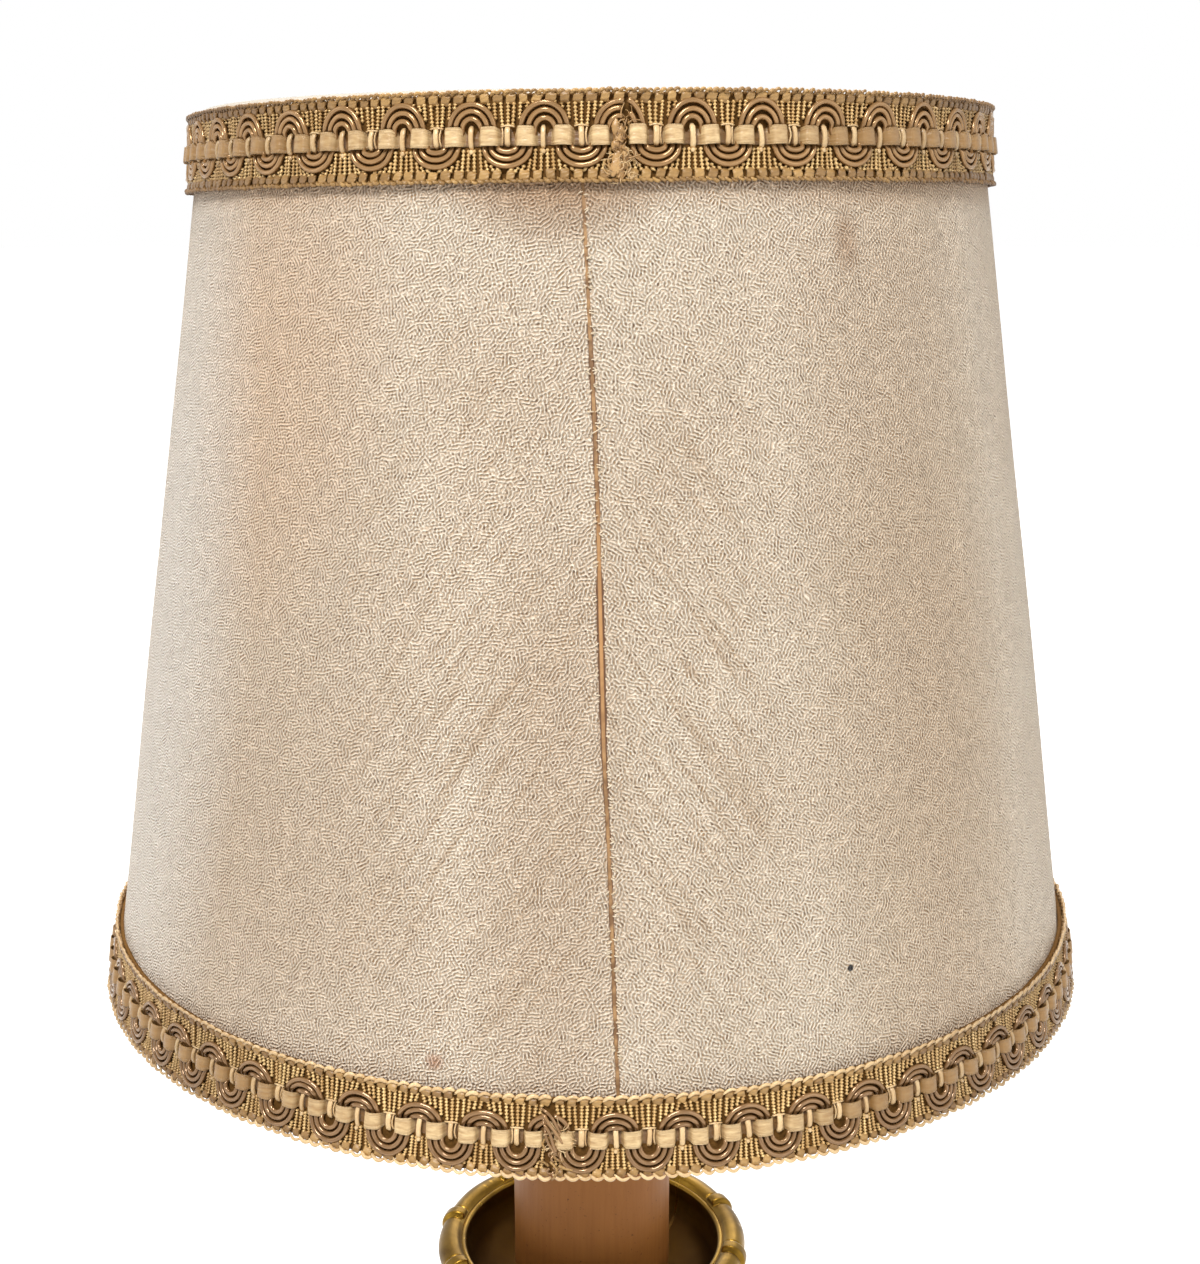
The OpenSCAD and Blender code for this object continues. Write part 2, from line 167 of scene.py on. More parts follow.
def add(kind, output, values=None, tree=None, **settings):
    """One result of a new node, made in the given tree or in that of the fields among its values."""
    values = values or {}
    if tree is None:
        tree = next(value.socket.id_data for value in values.values() if isinstance(value, Field))
    node = tree.nodes.new("ShaderNode" + kind)
    for name, value in settings.items():
        setattr(node, name, value)
    for key, value in values.items():
        put(node.inputs[key], value)
    return Field(node.outputs[output])


def reckon(operation, *values):
    return add("Math", 0, dict(enumerate(values)), operation=operation)


def clamped(field):
    """The same sum or product, kept between 0 and 1 by its own math node."""
    field.socket.node.use_clamp = True
    return field


def xyz(vector):
    first = add("SeparateXYZ", 0, {0: vector})
    return first, first.also(1), first.also(2)


def mixed(factor, first, second, mode="MIX"):
    """Two colours mixed; one of three plain numbers is as seen on a screen. Sockets 6 and 7 take colours."""
    first, second = (c if isinstance(c, Field) or len(c) == 4 else linear(c) for c in (first, second))
    return add("Mix", 2, {0: factor, 6: first, 7: second}, data_type="RGBA", blend_type=mode)


def ramp(factor, low, high):
    """Grey that rises from 0 at low to 1 at high."""
    result = add("ValToRGB", "Color", {"Fac": factor})
    for element, place in zip(result.socket.node.color_ramp.elements, (low, high)):
        element.position = place
    return result


def noise(vector, scale, detail=2.0, roughness=0.5, distortion=0.0):
    return add("TexNoise", "Fac", {
        "Vector": vector, "Scale": scale, "Detail": detail, "Roughness": roughness,
        "Distortion": distortion})


def stretched(vector, scale):
    """A coordinate scaled by three numbers."""
    return add("Mapping", "Vector", {"Vector": vector, "Scale": scale})


def bump(height, distance, strength=1.0):
    return add("Bump", "Normal", {"Height": height, "Distance": distance, "Strength": strength})


def titled(name):
    return name.replace("_", " ").title()


def build_effect(effect, **numbers):
    """A shared group named after the function that fills it, from coordinates and a few numbers."""
    tree = bpy.data.node_groups.new(effect.__name__, "ShaderNodeTree")
    tree.interface.new_socket("Coordinates", in_out="INPUT", socket_type="NodeSocketVector")
    for name, value in numbers.items():
        socket = tree.interface.new_socket(titled(name), in_out="INPUT", socket_type="NodeSocketFloat")
        socket.default_value = value
    given = tree.nodes.new("NodeGroupInput").outputs
    results = effect(*(Field(given[i]) for i in range(1 + len(numbers))))
    for name in results:
        tree.interface.new_socket(name, in_out="OUTPUT", socket_type="NodeSocketFloat")
    end = tree.nodes.new("NodeGroupOutput")
    for name, field in results.items():
        put(end.inputs[name], field)


def use(effect, coordinates, **numbers):
    """A shared effect placed in the tree of its coordinates, as its results by name."""
    node = coordinates.socket.id_data.nodes.new("ShaderNodeGroup")
    node.node_tree = bpy.data.node_groups[effect.__name__]
    put(node.inputs["Coordinates"], coordinates)
    for name, value in numbers.items():
        put(node.inputs[titled(name)], value)
    return {socket.name: Field(socket) for socket in node.outputs}


def crepe_ridges(cloth, ridge_pitch):
    """Moss crepe: worm-like ridges that run every way, the grooves between them, and scattered pits."""
    gabor = add("TexGabor", "Value", {
        "Vector": cloth, "Scale": 0.40 / ridge_pitch, "Frequency": 2.5, "Anisotropy": 0.22,
        "Orientation 2D": 0.35}, gabor_type="2D")
    even = reckon("SINE", gabor.also("Phase") * TAU)
    wave = 0.56 + (gabor - 0.5) * 1.1 - even * 0.25
    height = clamped(wave + (noise(cloth, 3000.0, 2.0) - 0.5) * 0.3)
    sparse = (noise(cloth, 1500.0, 1.0) - 0.63) * 4.0
    return {"Height": height, "Pits": clamped((0.30 - height + sparse) * 5.0)}


def cloth_creases(cloth, angle):
    """Faint straight creases across the cloth at a chosen angle, as a mask of thin lines."""
    turned = add("VectorRotate", "Vector", {"Vector": cloth, "Angle": angle}, rotation_type="Z_AXIS")
    streaks = noise(stretched(turned, (18.0, 620.0, 1.0)), 1.0, 2.0, 0.5)
    return {"Lines": clamped(1.0 - reckon("ABSOLUTE", streaks - 0.5) * 22.0)}


def satin_twist(thread, slant, strands):
    """Fine slanted filaments of a satin cord or ribbon, from coordinates along and round it."""
    along, around = xyz(thread)[:2]
    wave = reckon("SINE", (along * slant + around * strands) * TAU) * 0.5 + 0.5
    uneven = noise(stretched(thread, (700.0, 9.0, 1.0)), 1.0, 2.0)
    return {"Height": wave * 0.7 + uneven * 0.5, "Tone": uneven}


def old_stains(place, size):
    """Large soft tonal clouds, as a mask from 0 to 1."""
    return {"Clouds": clamped((noise(place, 1.0 / size, 3.0, 0.55) - 0.25) * 2.0)}


def metal_wear(place, tarnish_size):
    """Tarnish clouds, fine scratches and tiny pits of handled metal."""
    clouds = noise(place, 1.0 / tarnish_size, 5.0, 0.62, 0.4)
    specks = noise(place, 1900.0, 2.0)
    scratches = noise(stretched(place, (260.0, 260.0, 5200.0)), 1.0, 3.0, 0.6)
    return {"Tarnish": clamped((clouds - 0.32) * 2.4), "Scratches": scratches,
        "Height": specks * 0.6 + scratches * 0.4}


# Materials


class Finish:
    """A new material with one Principled shader."""

    def __init__(self, name):
        self.material = bpy.data.materials.new(name)
        self.material.use_nodes = True
        self.tree = self.material.node_tree

    def place(self):
        """Each piece's own places, in metres."""
        return add("TexCoord", "Object", tree=self.tree)

    def uv(self, name="thread"):
        return add("UVMap", "UV", tree=self.tree, uv_map=name)

    def shade(self, **sockets):
        """Joins fields to the shader's sockets or sets plain values there, and gives the material."""
        for key, value in sockets.items():
            put(self.tree.nodes["Principled BSDF"].inputs[key.replace("_", " ")], value)
        return self.material


def spot(place, azimuth, height, width, tall):
    """A soft round mask on the shade at a real place: degrees from the front and metres up the shade."""
    angle = math.radians(azimuth)
    radius = shade_radius(height)
    x, y, z = xyz(place)
    x = (x - radius * math.sin(angle)) / width
    y = (y + radius * math.cos(angle)) / width
    z = (z - (SHADE_Z + height)) / tall
    return clamped(1.0 - (x * x + y * y + z * z))


# Azimuth and height of a mark on the cloth, its two half sizes, its strength and its colour; three of the
# marks are painted light, as noted beside them
CLOTH_MARKS_AND_PAINTED_LIGHT = (
    # Painted shadow with some staining just under the top braid, by the seam
    (-4, 0.166, 0.020, 0.012, 0.8, (0.72, 0.58, 0.44)),
    (-40, 0.05, 0.044, 0.13, 0.55, (0.80, 0.70, 0.59)),
    # Partly yellowing of the cloth and partly painted shade on the right side
    (40, 0.085, 0.030, 0.17, 0.55, (0.80, 0.685, 0.545)),
    (-43, 0.140, 0.032, 0.060, 0.5, (0.93, 0.785, 0.645)),
    # Painted highlight down the left side
    (-66, 0.075, 0.040, 0.14, 0.9, (0.975, 0.945, 0.905)),
    (-4, 0.055, 0.016, 0.09, 0.4, (0.80, 0.68, 0.55)))
SMUDGE_AND_RUST = (
    (32.0, 0.1555, 0.0035, 0.0065, 0.45, (0.68, 0.50, 0.33)),
    (-15.4, 0.0174, 0.0020, 0.0018, 0.55, (0.74, 0.44, 0.22)))
# Turn of a set of creases, and the azimuth and half width of the place that has them
CREASES = ((-1.9, -12, 0.034), (0.95, 12, 0.020))
# Azimuth, height and half sizes of the small hole
HOLE = (27.0, 0.0306, 0.0007, 0.0007)
# Height from which a painted shadow turns the cloth brown towards the top braid
SHADOW_BELOW_BRAID = 0.1605
CREPE_RELIEF = 0.00064


def marked(base, place, marks):
    """A base colour with soft marks from a table."""
    for azimuth, height, width, tall, strength, mark in marks:
        base = mixed(spot(place, azimuth, height, width, tall) * strength, base, mark)
    return base


def crepe_material():
    """Cream moss crepe with its ridges, warm clouds of age and the marks that it has, with painted shade in
    its grooves, pits and creases, a painted shadow under the top braid and a painted highlight down its left
    side.
    """
    finish = Finish("cream_crepe")
    cloth = finish.uv("cloth")
    place = finish.place()
    ridges = use(crepe_ridges, cloth, ridge_pitch=0.00063)
    clouds = use(old_stains, cloth, size=0.045)["Clouds"]
    base = mixed(clouds, colour("crepe"), (0.955, 0.885, 0.795))
    base = marked(base, place, CLOTH_MARKS_AND_PAINTED_LIGHT)
    # The creases are drawn only as darker lines in the colour: painted shade along each crease.
    for angle, azimuth, width in CREASES:
        lines = use(cloth_creases, cloth, angle=angle)["Lines"]
        base = mixed(lines * spot(place, azimuth, 0.075, width, 0.085) * 0.6, base, (0.78, 0.66, 0.52))
    # Painted shadow: a brown band just under the top braid.
    shadow_below_braid = clamped((xyz(place)[2] - (SHADE_Z + SHADOW_BELOW_BRAID)) * 180.0)
    base = mixed(shadow_below_braid * 0.6, base, (0.82, 0.66, 0.50))
    base = marked(base, place, SMUDGE_AND_RUST)
    # Painted shade: the grooves between the ridges are darkened, and the pits take a dark colour.
    low = 1.0 - ridges["Height"]
    base = mixed(low * low, base, (0.69, 0.57, 0.415), "MULTIPLY")
    base = mixed(ridges["Pits"] * 0.85, base, colour("crepe_pit"))
    base = mixed(clamped(spot(place, *HOLE) * 2.0), base, (0.10, 0.07, 0.05))
    return finish.shade(Base_Color=base, Roughness=0.62, Specular_IOR_Level=0.4, Sheen_Weight=0.07,
        Normal=bump(ridges["Height"], CREPE_RELIEF))


def soiled_sides(place):
    """A mask of the braids' left and right sides, for painted shade that makes them browner than at the
    front.
    """
    x, y, z = xyz(place)
    across = x * x
    gain = 1.8 + reckon("LESS_THAN", z, SHADE_Z + 0.05) * 0.7
    return clamped((across / (across + y * y) - 0.10) * gain)


def satin_material(name, tone, dark, roughness, slant=900.0, strands=9.0, depth=0.00004, gloss=0.5,
        gleam=0.0, uneven=0.35, side_shade=0.5, sheen=(1.0, 1.0, 1.0)):
    """Rayon satin or gold thread: fine slanted filaments and a slightly different tone in each piece."""
    finish = Finish(name)
    place = finish.place()
    twist = use(satin_twist, finish.uv(), slant=slant, strands=strands)
    each = add("NewGeometry", "Random Per Island", tree=finish.tree)
    base = mixed(twist["Tone"] * 0.5 + each * uneven, tone, dark)
    base = mixed(clamped((noise(place, 260.0, 3.0) - 0.5) * 1.6), base, dark)
    # Painted shade: the braids' left and right sides are darkened towards brown.
    base = mixed(soiled_sides(place) * side_shade, base, (0.36, 0.24, 0.11))
    return finish.shade(Base_Color=base, Roughness=roughness, Specular_IOR_Level=gloss, Metallic=gleam,
        Specular_Tint=sheen + (1.0,), Normal=bump(twist["Height"], depth, 0.8))


def ribbon_material():
    """Flat satin ribbon with fine streaks along it, with painted shade that makes it dull and brown where it
    dips under the bars and towards its left and right sides.
    """
    finish = Finish("braid_ribbon_satin")
    place = finish.place()
    thread = finish.uv()
    streaks = ramp(noise(stretched(thread, (2.2, 34.0, 1.0)), 1.0, 3.0, 0.6), 0.35, 0.65)
    from_bar = reckon("ABSOLUTE", reckon("FRACT", xyz(thread)[0]) - 0.5)
    base = mixed(streaks, colour("ribbon"), (0.70, 0.56, 0.38))
    # Painted shade where the ribbon dips under each bar.
    base = mixed(clamped((from_bar - 0.225) * 9.0) * 0.85, base, (0.40, 0.27, 0.14))
    # Painted shade on the right side, added to the painted shade of both sides below.
    right = clamped((xyz(place)[0] - 0.018) * 33.0) * 0.5
    base = mixed(clamped(soiled_sides(place) * 1.7 + right) * 0.85, base, (0.53, 0.385, 0.20))
    return finish.shade(Base_Color=base, Roughness=0.38, Specular_IOR_Level=0.45,
        Normal=bump(streaks, 0.00008, 0.8))


def ground_material():
    """Coarse olive brown cloth behind the braid's threads."""
    finish = Finish("braid_ground_cloth")
    grain = noise(finish.place(), 1500.0, 3.0)
    return finish.shade(Base_Color=mixed(grain, colour("ground"), (0.29, 0.19, 0.07)), Roughness=0.8,
        Specular_IOR_Level=0.15, Normal=bump(grain, 0.0003))


def brass_material(name, tarnish_share, roughness, inner_shade_and_tarnish=0.0):
    """Aged brass: bright on its edges, with a brown film in clouds and fine scratches.

    The last argument, where given, is the radius inside which its upper side is darker: painted shade from
    the lampshade above, with deeper tarnish.
    """
    finish = Finish(name)
    place = finish.place()
    wear = use(metal_wear, place, tarnish_size=0.014)
    pointed = add("NewGeometry", "Pointiness", tree=finish.tree)
    film = clamped(wear["Tarnish"] * tarnish_share - clamped((pointed - 0.52) * 9.0))
    base = mixed(film, colour("brass"), colour("tarnish"))
    if inner_shade_and_tarnish:
        x, y = xyz(place)[:2]
        inside = clamped((inner_shade_and_tarnish - reckon("SQRT", x * x + y * y)) * 900.0)
        up = reckon("GREATER_THAN", xyz(pointed.also("Normal"))[2], -0.05)
        # Painted shade with deeper tarnish on the bowl's upper inside.
        base = mixed(inside * up * 0.9, base, (0.30, 0.20, 0.09))
    return finish.shade(Base_Color=base, Metallic=1.0,
        Roughness=roughness + film * 0.30 + wear["Scratches"] * 0.08,
        Normal=bump(wear["Height"], 0.00003, 0.7))


def sleeve_material():
    """Tan brown candle sleeve with faint upright streaks, dark pores and darker, dusty clouds."""
    finish = Finish("tan_candle_sleeve")
    place = finish.place()
    streaks = noise(stretched(place, (900.0, 900.0, 45.0)), 1.0, 3.0, 0.55)
    pores = noise(place, 1350.0, 2.0, 0.5)
    base = mixed(streaks, colour("sleeve"), (0.52, 0.325, 0.145))
    base = mixed(use(old_stains, place, size=0.022)["Clouds"] * 0.6, base, (0.53, 0.33, 0.145))
    base = mixed(clamped((pores - 0.66) * 7.0), base, (0.30, 0.17, 0.09))
    return finish.shade(Base_Color=base, Roughness=0.38 + streaks * 0.2, Specular_IOR_Level=0.25,
        Normal=bump(streaks + pores, 0.00006, 0.5))


def plain_material(name, tone, roughness, metallic, grain, depth, spread):
    """A simple finish with its own grain, clouded tone and uneven gloss."""
    finish = Finish(name)
    place = finish.place()
    fine = noise(place, grain, 3.0)
    both = fine * 0.5 + noise(place, 45.0, 3.0) * 0.5
    tone = linear(tone)
    darker = tuple(v * (1 - spread) for v in tone[:3]) + (1.0,)
    return finish.shade(Base_Color=mixed(both, tone, darker), Roughness=(roughness - 0.05) + both * 0.1,
        Metallic=metallic, Normal=bump(fine, depth, 0.6))


def felt_material():
    """Dark green felt with matted fibres."""
    finish = Finish("green_felt")
    fibres = noise(stretched(finish.place(), (900.0, 2600.0, 900.0)), 1.0, 4.0, 0.7, 1.5)
    return finish.shade(Base_Color=mixed(fibres, (0.28, 0.39, 0.28), (0.14, 0.21, 0.15)), Roughness=0.95,
        Sheen_Weight=0.3, Normal=bump(fibres, 0.0004))


def glass_material():
    finish = Finish("bulb_clear_glass")
    return finish.shade(Base_Color=(0.96, 0.98, 1.0, 1.0), Transmission_Weight=1.0, IOR=1.45,
        Roughness=noise(finish.place(), 300.0, 3.0) * 0.08)


def seam_glue_material():
    """Old glue, paler where the seam stands open, with painted shade along its two edges where the cloth's
    rolled ends overhang it.
    """
    finish = Finish("seam_glue")
    place = finish.place()
    uneven = noise(place, 420.0, 3.0)
    base = mixed(ramp(uneven, 0.4, 0.62), (0.46, 0.33, 0.20), (0.66, 0.51, 0.34))
    middle = clamped(1.0 - reckon("ABSOLUTE", xyz(place)[2] - (SHADE_Z + 0.092)) * 38.0)
    base = mixed(middle * 0.9, base, (0.73, 0.535, 0.33))
    # Painted shade along both edges of the glue strip.
    across = reckon("ABSOLUTE", reckon("COSINE", xyz(finish.uv())[1] * TAU))
    base = mixed(clamped((across - 0.17) * 9.0), base, (0.36, 0.23, 0.12))
    return finish.shade(Base_Color=base, Roughness=0.6, Normal=bump(uneven, 0.0002))


def dried_glue_material():
    """Brown glue that set in lumps over the top braid's joint."""
    finish = Finish("dried_glue")
    grain = noise(finish.place(), 520.0, 4.0)
    return finish.shade(Base_Color=mixed(ramp(grain, 0.35, 0.65), (0.80, 0.64, 0.42), (0.54, 0.39, 0.21)),
        Roughness=0.32, Normal=bump(grain, 0.0006))


# Mesh helpers


def join(parts):
    """Several (points, faces, UVs) as one."""
    faces = []
    count = 0
    for points, own_faces, uvs in parts:
        faces += [tuple(i + count for i in face) for face in own_faces]
        count += len(points)
    return np.concatenate([part[0] for part in parts]), faces, np.concatenate([part[2] for part in parts])


def add_piece(name, points, faces, material, body, uvs=None, uv_name="thread"):
    """A mesh piece that rides on a body. uvs is one pair for each point."""
    mesh = bpy.data.meshes.new(name)
    mesh.from_pydata(np.asarray(points, float).tolist(), [], faces)
    mesh.update()
    if uvs is not None:
        layer = mesh.uv_layers.new(name=uv_name)
        corners = np.empty(len(mesh.loops), np.int64)
        mesh.loops.foreach_get("vertex_index", corners)
        layer.data.foreach_set("uv", np.asarray(uvs, np.float32)[corners].ravel())
    mesh.materials.append(material)
    mesh.polygons.foreach_set("use_smooth", [True] * len(mesh.polygons))
    piece = bpy.data.objects.new(name, mesh)
    bpy.context.scene.collection.objects.link(piece)
    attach(piece, body)
    return piece


def grid_faces(rows, columns, wrap_rows=False, wrap_columns=False):
    """Quads of a grid of points listed row by row."""
    last_row = rows if wrap_rows else rows - 1
    last_column = columns if wrap_columns else columns - 1
    row, column = np.meshgrid(np.arange(last_row), np.arange(last_column), indexing="ij")
    up, right = (row + 1) % rows, (column + 1) % columns
    quads = np.stack([row * columns + column, row * columns + right, up * columns + right,
        up * columns + column], axis=-1)
    return [tuple(q) for q in quads.reshape(-1, 4).tolist()]


def unit(vectors):
    return vectors / np.maximum(np.linalg.norm(vectors, axis=-1, keepdims=True), 1e-12)


def tubes(paths, outward, side_radius, out_radius=None, sides=8, square=1.0):
    """Tubes with an oval section along many paths at once; square below 1 flattens the section's sides.

    paths and outward are (tubes, points, 3); the radii are numbers or (tubes, points).
    Gives points, faces and UVs (metres along, share round), with flat caps on open ends.
    """
    count, steps = paths.shape[:2]
    out_radius = side_radius if out_radius is None else out_radius
    side_radius = np.broadcast_to(side_radius, (count, steps))[..., None, None]
    out_radius = np.broadcast_to(out_radius, (count, steps))[..., None, None]
    tangent = unit(np.gradient(paths, axis=1))
    side = unit(np.cross(tangent, outward))
    normal = np.cross(side, tangent)
    turn = (np.arange(sides) + 0.5) * TAU / sides
    across = np.sign(np.cos(turn)) * abs(np.cos(turn)) ** square
    through = np.sign(np.sin(turn)) * abs(np.sin(turn)) ** square
    ring = (across[:, None] * side[:, :, None] * side_radius
        + through[:, None] * normal[:, :, None] * out_radius)
    points = (paths[:, :, None] + ring).reshape(-1, 3)
    steps_along = np.linalg.norm(np.diff(paths, axis=1), axis=-1)
    along = np.concatenate([np.zeros((count, 1)), np.cumsum(steps_along, axis=1)], axis=1)
    uvs = np.stack(np.broadcast_arrays(along[:, :, None], turn / TAU), axis=-1).reshape(-1, 2)
    faces = []
    one = np.array(grid_faces(steps, sides, wrap_columns=True))
    for k in range(count):
        start = k * steps * sides
        faces += [tuple(q) for q in (one + start).tolist()]
        faces.append(tuple(range(start + sides - 1, start - 1, -1)))
        end = start + (steps - 1) * sides
        faces.append(tuple(range(end, end + sides)))
    return points, faces, uvs


def lathe(profile, columns, shape_column):
    """A closed profile of (radius, height) points turned round the axis.

    shape_column takes the azimuths and the profile and returns (columns, points, 2) profiles.
    """
    angle = np.arange(columns) * TAU / columns
    shaped = shape_column(angle, np.asarray(profile, float))
    points = np.stack([shaped[..., 0] * np.cos(angle)[:, None], shaped[..., 0] * np.sin(angle)[:, None],
        shaped[..., 1]], axis=-1).reshape(-1, 3)
    return points, grid_faces(columns, len(profile), True, True)


def arc(centre, half_width, half_height, start, end, count):
    """Points along an oval arc, the angles in degrees."""
    t = np.radians(np.linspace(start, end, count))
    return np.stack([centre[0] + half_width * np.cos(t), centre[1] + half_height * np.sin(t)], axis=-1)


# The shade's surface


def shade_radius(height):
    return sizes().bottom_radius + (sizes().top_radius - sizes().bottom_radius) * height / SHADE_H


def shade_slope():
    return math.atan((sizes().bottom_radius - sizes().top_radius) / SHADE_H)


def on_shade(azimuth, height, out):
    """Points on the shade: azimuth in radians from the front, height above its bottom edge, distance out."""
    azimuth, height, out = np.broadcast_arrays(azimuth, height, out)
    slope = shade_slope()
    radius = shade_radius(height) + out * math.cos(slope)
    lean = sizes().rim_lean * (np.sin(azimuth) - 0.4) * np.clip(height / SHADE_H, 0, 1) ** 3
    return np.stack([radius * np.sin(azimuth), -radius * np.cos(azimuth),
        SHADE_Z + height + lean + out * math.sin(slope)], axis=-1)


def out_of_shade(azimuth, like):
    slope = shade_slope()
    azimuth = np.broadcast_to(azimuth, like.shape[:-1])
    return np.stack([np.sin(azimuth) * math.cos(slope), -np.cos(azimuth) * math.cos(slope),
        np.full(azimuth.shape, math.sin(slope))], axis=-1)


def flat_pattern(azimuth, height):
    """The same place on the cloth before it was wrapped round the cone."""
    slope = shade_slope()
    reach = shade_radius(height) / math.sin(slope)
    turn = azimuth * math.sin(slope)
    return np.stack([reach * np.sin(turn), -reach * np.cos(turn)], axis=-1)


# Places where the front seam passes: height above the bottom edge in metres, azimuth in degrees
SEAM_HEIGHTS = (0.0, 0.014, 0.055, 0.072, 0.097, 0.1105, 0.125, 0.1636, 0.18)
SEAM_AZIMUTHS = (2.75, 2.5, 1.75, 1.28, 0.94, 0.76, 0.45, -0.85, -1.3)
# Heights where the slit stands open, and how far to each side
OPEN_HEIGHTS = (0.055, 0.068, 0.078, 0.098, 0.104, 0.138, 0.146)
OPEN_BY = (0.00018, 0.00028, 0.00048, 0.00048, 0.00014, 0.00012, 0.0)
# Distances from the cloth's cut ends at which its mesh has its first columns
END_COLUMNS = (0, 0.0002, 0.0004, 0.0007, 0.001, 0.0014, 0.0019, 0.0026, 0.0034)
# Length that turns a share of the way round the cloth into a distance from its cut end
CLOTH_ROUND = 0.6
CLOTH_THICKNESS = 0.0004
CLOTH_INSET = 0.0006
# Glue strip under the slit: how deep it lies, and its half width and half thickness
GLUE_DEPTH = 0.00028
GLUE_HALF_SIZES = (0.0013, 0.00012)
# Loose threads along the slit: how many, the heights between which they stand, their shortest and longest,
# and the height and length of the one long thread that shows
HAIR_COUNT = 150
HAIR_HEIGHTS = (0.016, 0.164)
HAIR_LENGTHS = (0.0005, 0.0011)
HAIR_RADIUS = 0.00011
LONG_HAIR = (0.1252, 0.003)


def seam_azimuth(height):
    return np.radians(np.interp(height, SEAM_HEIGHTS, SEAM_AZIMUTHS))


def seam_half_gap(height):
    """Half width of the seam's slit, which stands open in the middle of the shade."""
    flutter = 0.00004 * np.sin(height * 900) + 0.00004 * np.sin(height * 2300 + 1)
    return sizes().seam_gap + np.interp(height, OPEN_HEIGHTS, OPEN_BY) + flutter


class LAMP_OT_shade_skin(bpy.types.Operator):
    """Make the crepe skin, wrapped once round the backing with its two ends meeting at the front seam"""

    bl_idname = "lamp.shade_skin"
    bl_label = "Crepe Skin"

    def execute(self, context):
        rows, columns = 130, 470
        height = np.linspace(CLOTH_INSET, SHADE_H - CLOTH_INSET, rows)[:, None]
        inner = np.linspace(0, 1, columns - 2 * len(END_COLUMNS) + 2)[1:-1]
        edge = np.array(END_COLUMNS) / CLOTH_ROUND
        share = np.concatenate([edge, 0.0075 + inner * 0.985, 1 - edge[::-1]])[None, :]
        gap = seam_half_gap(height) / shade_radius(height)
        azimuth = seam_azimuth(height) + gap + share * (TAU - 2 * gap)
        from_end = np.minimum(share, 1 - share) * CLOTH_ROUND
        hem = 0.00016 * np.exp(-((from_end - 0.0008) / 0.0005) ** 2)
        rolled = -0.00042 * np.exp(-(from_end / 0.00022) ** 2)
        ripples = (0.00010 * np.sin(azimuth * 9 + height * 22) + 0.00008 * np.sin(azimuth * 23 - height * 60)
            + 0.00007 * np.sin(azimuth * 41 + height * 35))
        pucker = 0.00014 * np.sin((height + from_end * 0.5) * 1500) * np.exp(-from_end / 0.004)
        out = ripples + hem + rolled + pucker * 0.5
        both = [on_shade(azimuth, height, level).reshape(-1, 3) for level in (out, out - CLOTH_THICKNESS)]
        flat = flat_pattern(azimuth, height).reshape(-1, 2)
        skin = add_piece("shade_crepe_skin", np.concatenate(both), self.faces(rows, columns),
            crepe_material(), "shade", np.concatenate([flat, flat]), "cloth")
        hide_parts("shade_fabric")
        return {"FINISHED"}

    def faces(self, rows, columns):
        """Quads of the cloth's two sides and of its four narrow edges."""
        faces = grid_faces(rows, columns)
        under = rows * columns
        faces += [tuple(under + i for i in face[::-1]) for face in faces]
        for first, flip in ((0, False), (columns - 1, True)):
            faces += [(i + columns, i, i + under, i + columns + under)[:: 1 if flip else -1]
                for i in range(first, first + (rows - 1) * columns, columns)]
        for first, flip in ((0, False), ((rows - 1) * columns, True)):
            faces += [(i, i + 1, i + 1 + under, i + under)[:: 1 if flip else -1]
                for i in range(first, first + columns - 1)]
        return faces


class LAMP_OT_seam(bpy.types.Operator):
    """Make the glue strip that shows in the seam's slit, and the loose threads along it"""

    bl_idname = "lamp.seam"
    bl_label = "Front Seam"

    def execute(self, context):
        height = np.linspace(0.001, SHADE_H - 0.001, 220)
        path = on_shade(seam_azimuth(height), height, -GLUE_DEPTH)[None]
        outward = out_of_shade(seam_azimuth(height), path[0])[None]
        points, faces, uvs = tubes(path, outward, *GLUE_HALF_SIZES, sides=16)
        add_piece("seam_glue_line", points, faces, seam_glue_material(), "shade", uvs)

        rng = np.random.default_rng(11)
        fray = np.sort(rng.uniform(*HAIR_HEIGHTS, HAIR_COUNT))
        long = rng.uniform(*HAIR_LENGTHS, HAIR_COUNT)
        long[np.argmin(abs(fray - LONG_HAIR[0]))] = LONG_HAIR[1]
        lean = rng.uniform(-0.9, 0.9, HAIR_COUNT)
        step = np.linspace(-0.5, 0.5, 5)
        up = fray[:, None] + step * (long * np.sin(lean))[:, None]
        beside = rng.choice((-1, 1, 1, 1), HAIR_COUNT) * (seam_half_gap(fray) + 0.00036)
        across = step * (long * np.cos(lean))[:, None] + beside[:, None]
        azimuth = seam_azimuth(fray)[:, None] + across / shade_radius(up)
        lift = 0.00010 + 0.00026 * np.cos(step * math.pi) * rng.uniform(0.2, 1.3, HAIR_COUNT)[:, None]
        paths = on_shade(azimuth, up, lift)
        points, faces, uvs = tubes(paths, out_of_shade(azimuth, paths), HAIR_RADIUS, sides=5)
        thread = satin_material("seam_thread", (0.98, 0.93, 0.84), (0.84, 0.73, 0.57), 0.7, gloss=0.2,
            side_shade=0.0)
        add_piece("seam_stitches", points, faces, thread, "shade", uvs)
        return {"FINISHED"}


# The braid's pattern in millimetres: depth, levels down from its top edge, and half widths of its curves
BRAID_DEPTH = 15.0
ARCH_LEVEL = 6.4
BOWL_LEVEL = 9.0
RIBBON_LEVEL = 7.5
HALF_WIDTHS = (3.85, 2.75, 1.65)
CORD_CLEARANCE = 0.42
GROUND_EDGES = (0.55, 14.45)
# Levels between which the upright threads begin and end, and where they go under the ribbon
THREAD_TOPS = (1.75, 1.95)
THREAD_BOTTOMS = (12.95, 13.15)
UNDER_RIBBON = (5.75, 9.3)
BEAD_LENGTH = 0.60
SHORTEST_THREAD = 0.35
THREADS_PER_PERIOD = 11
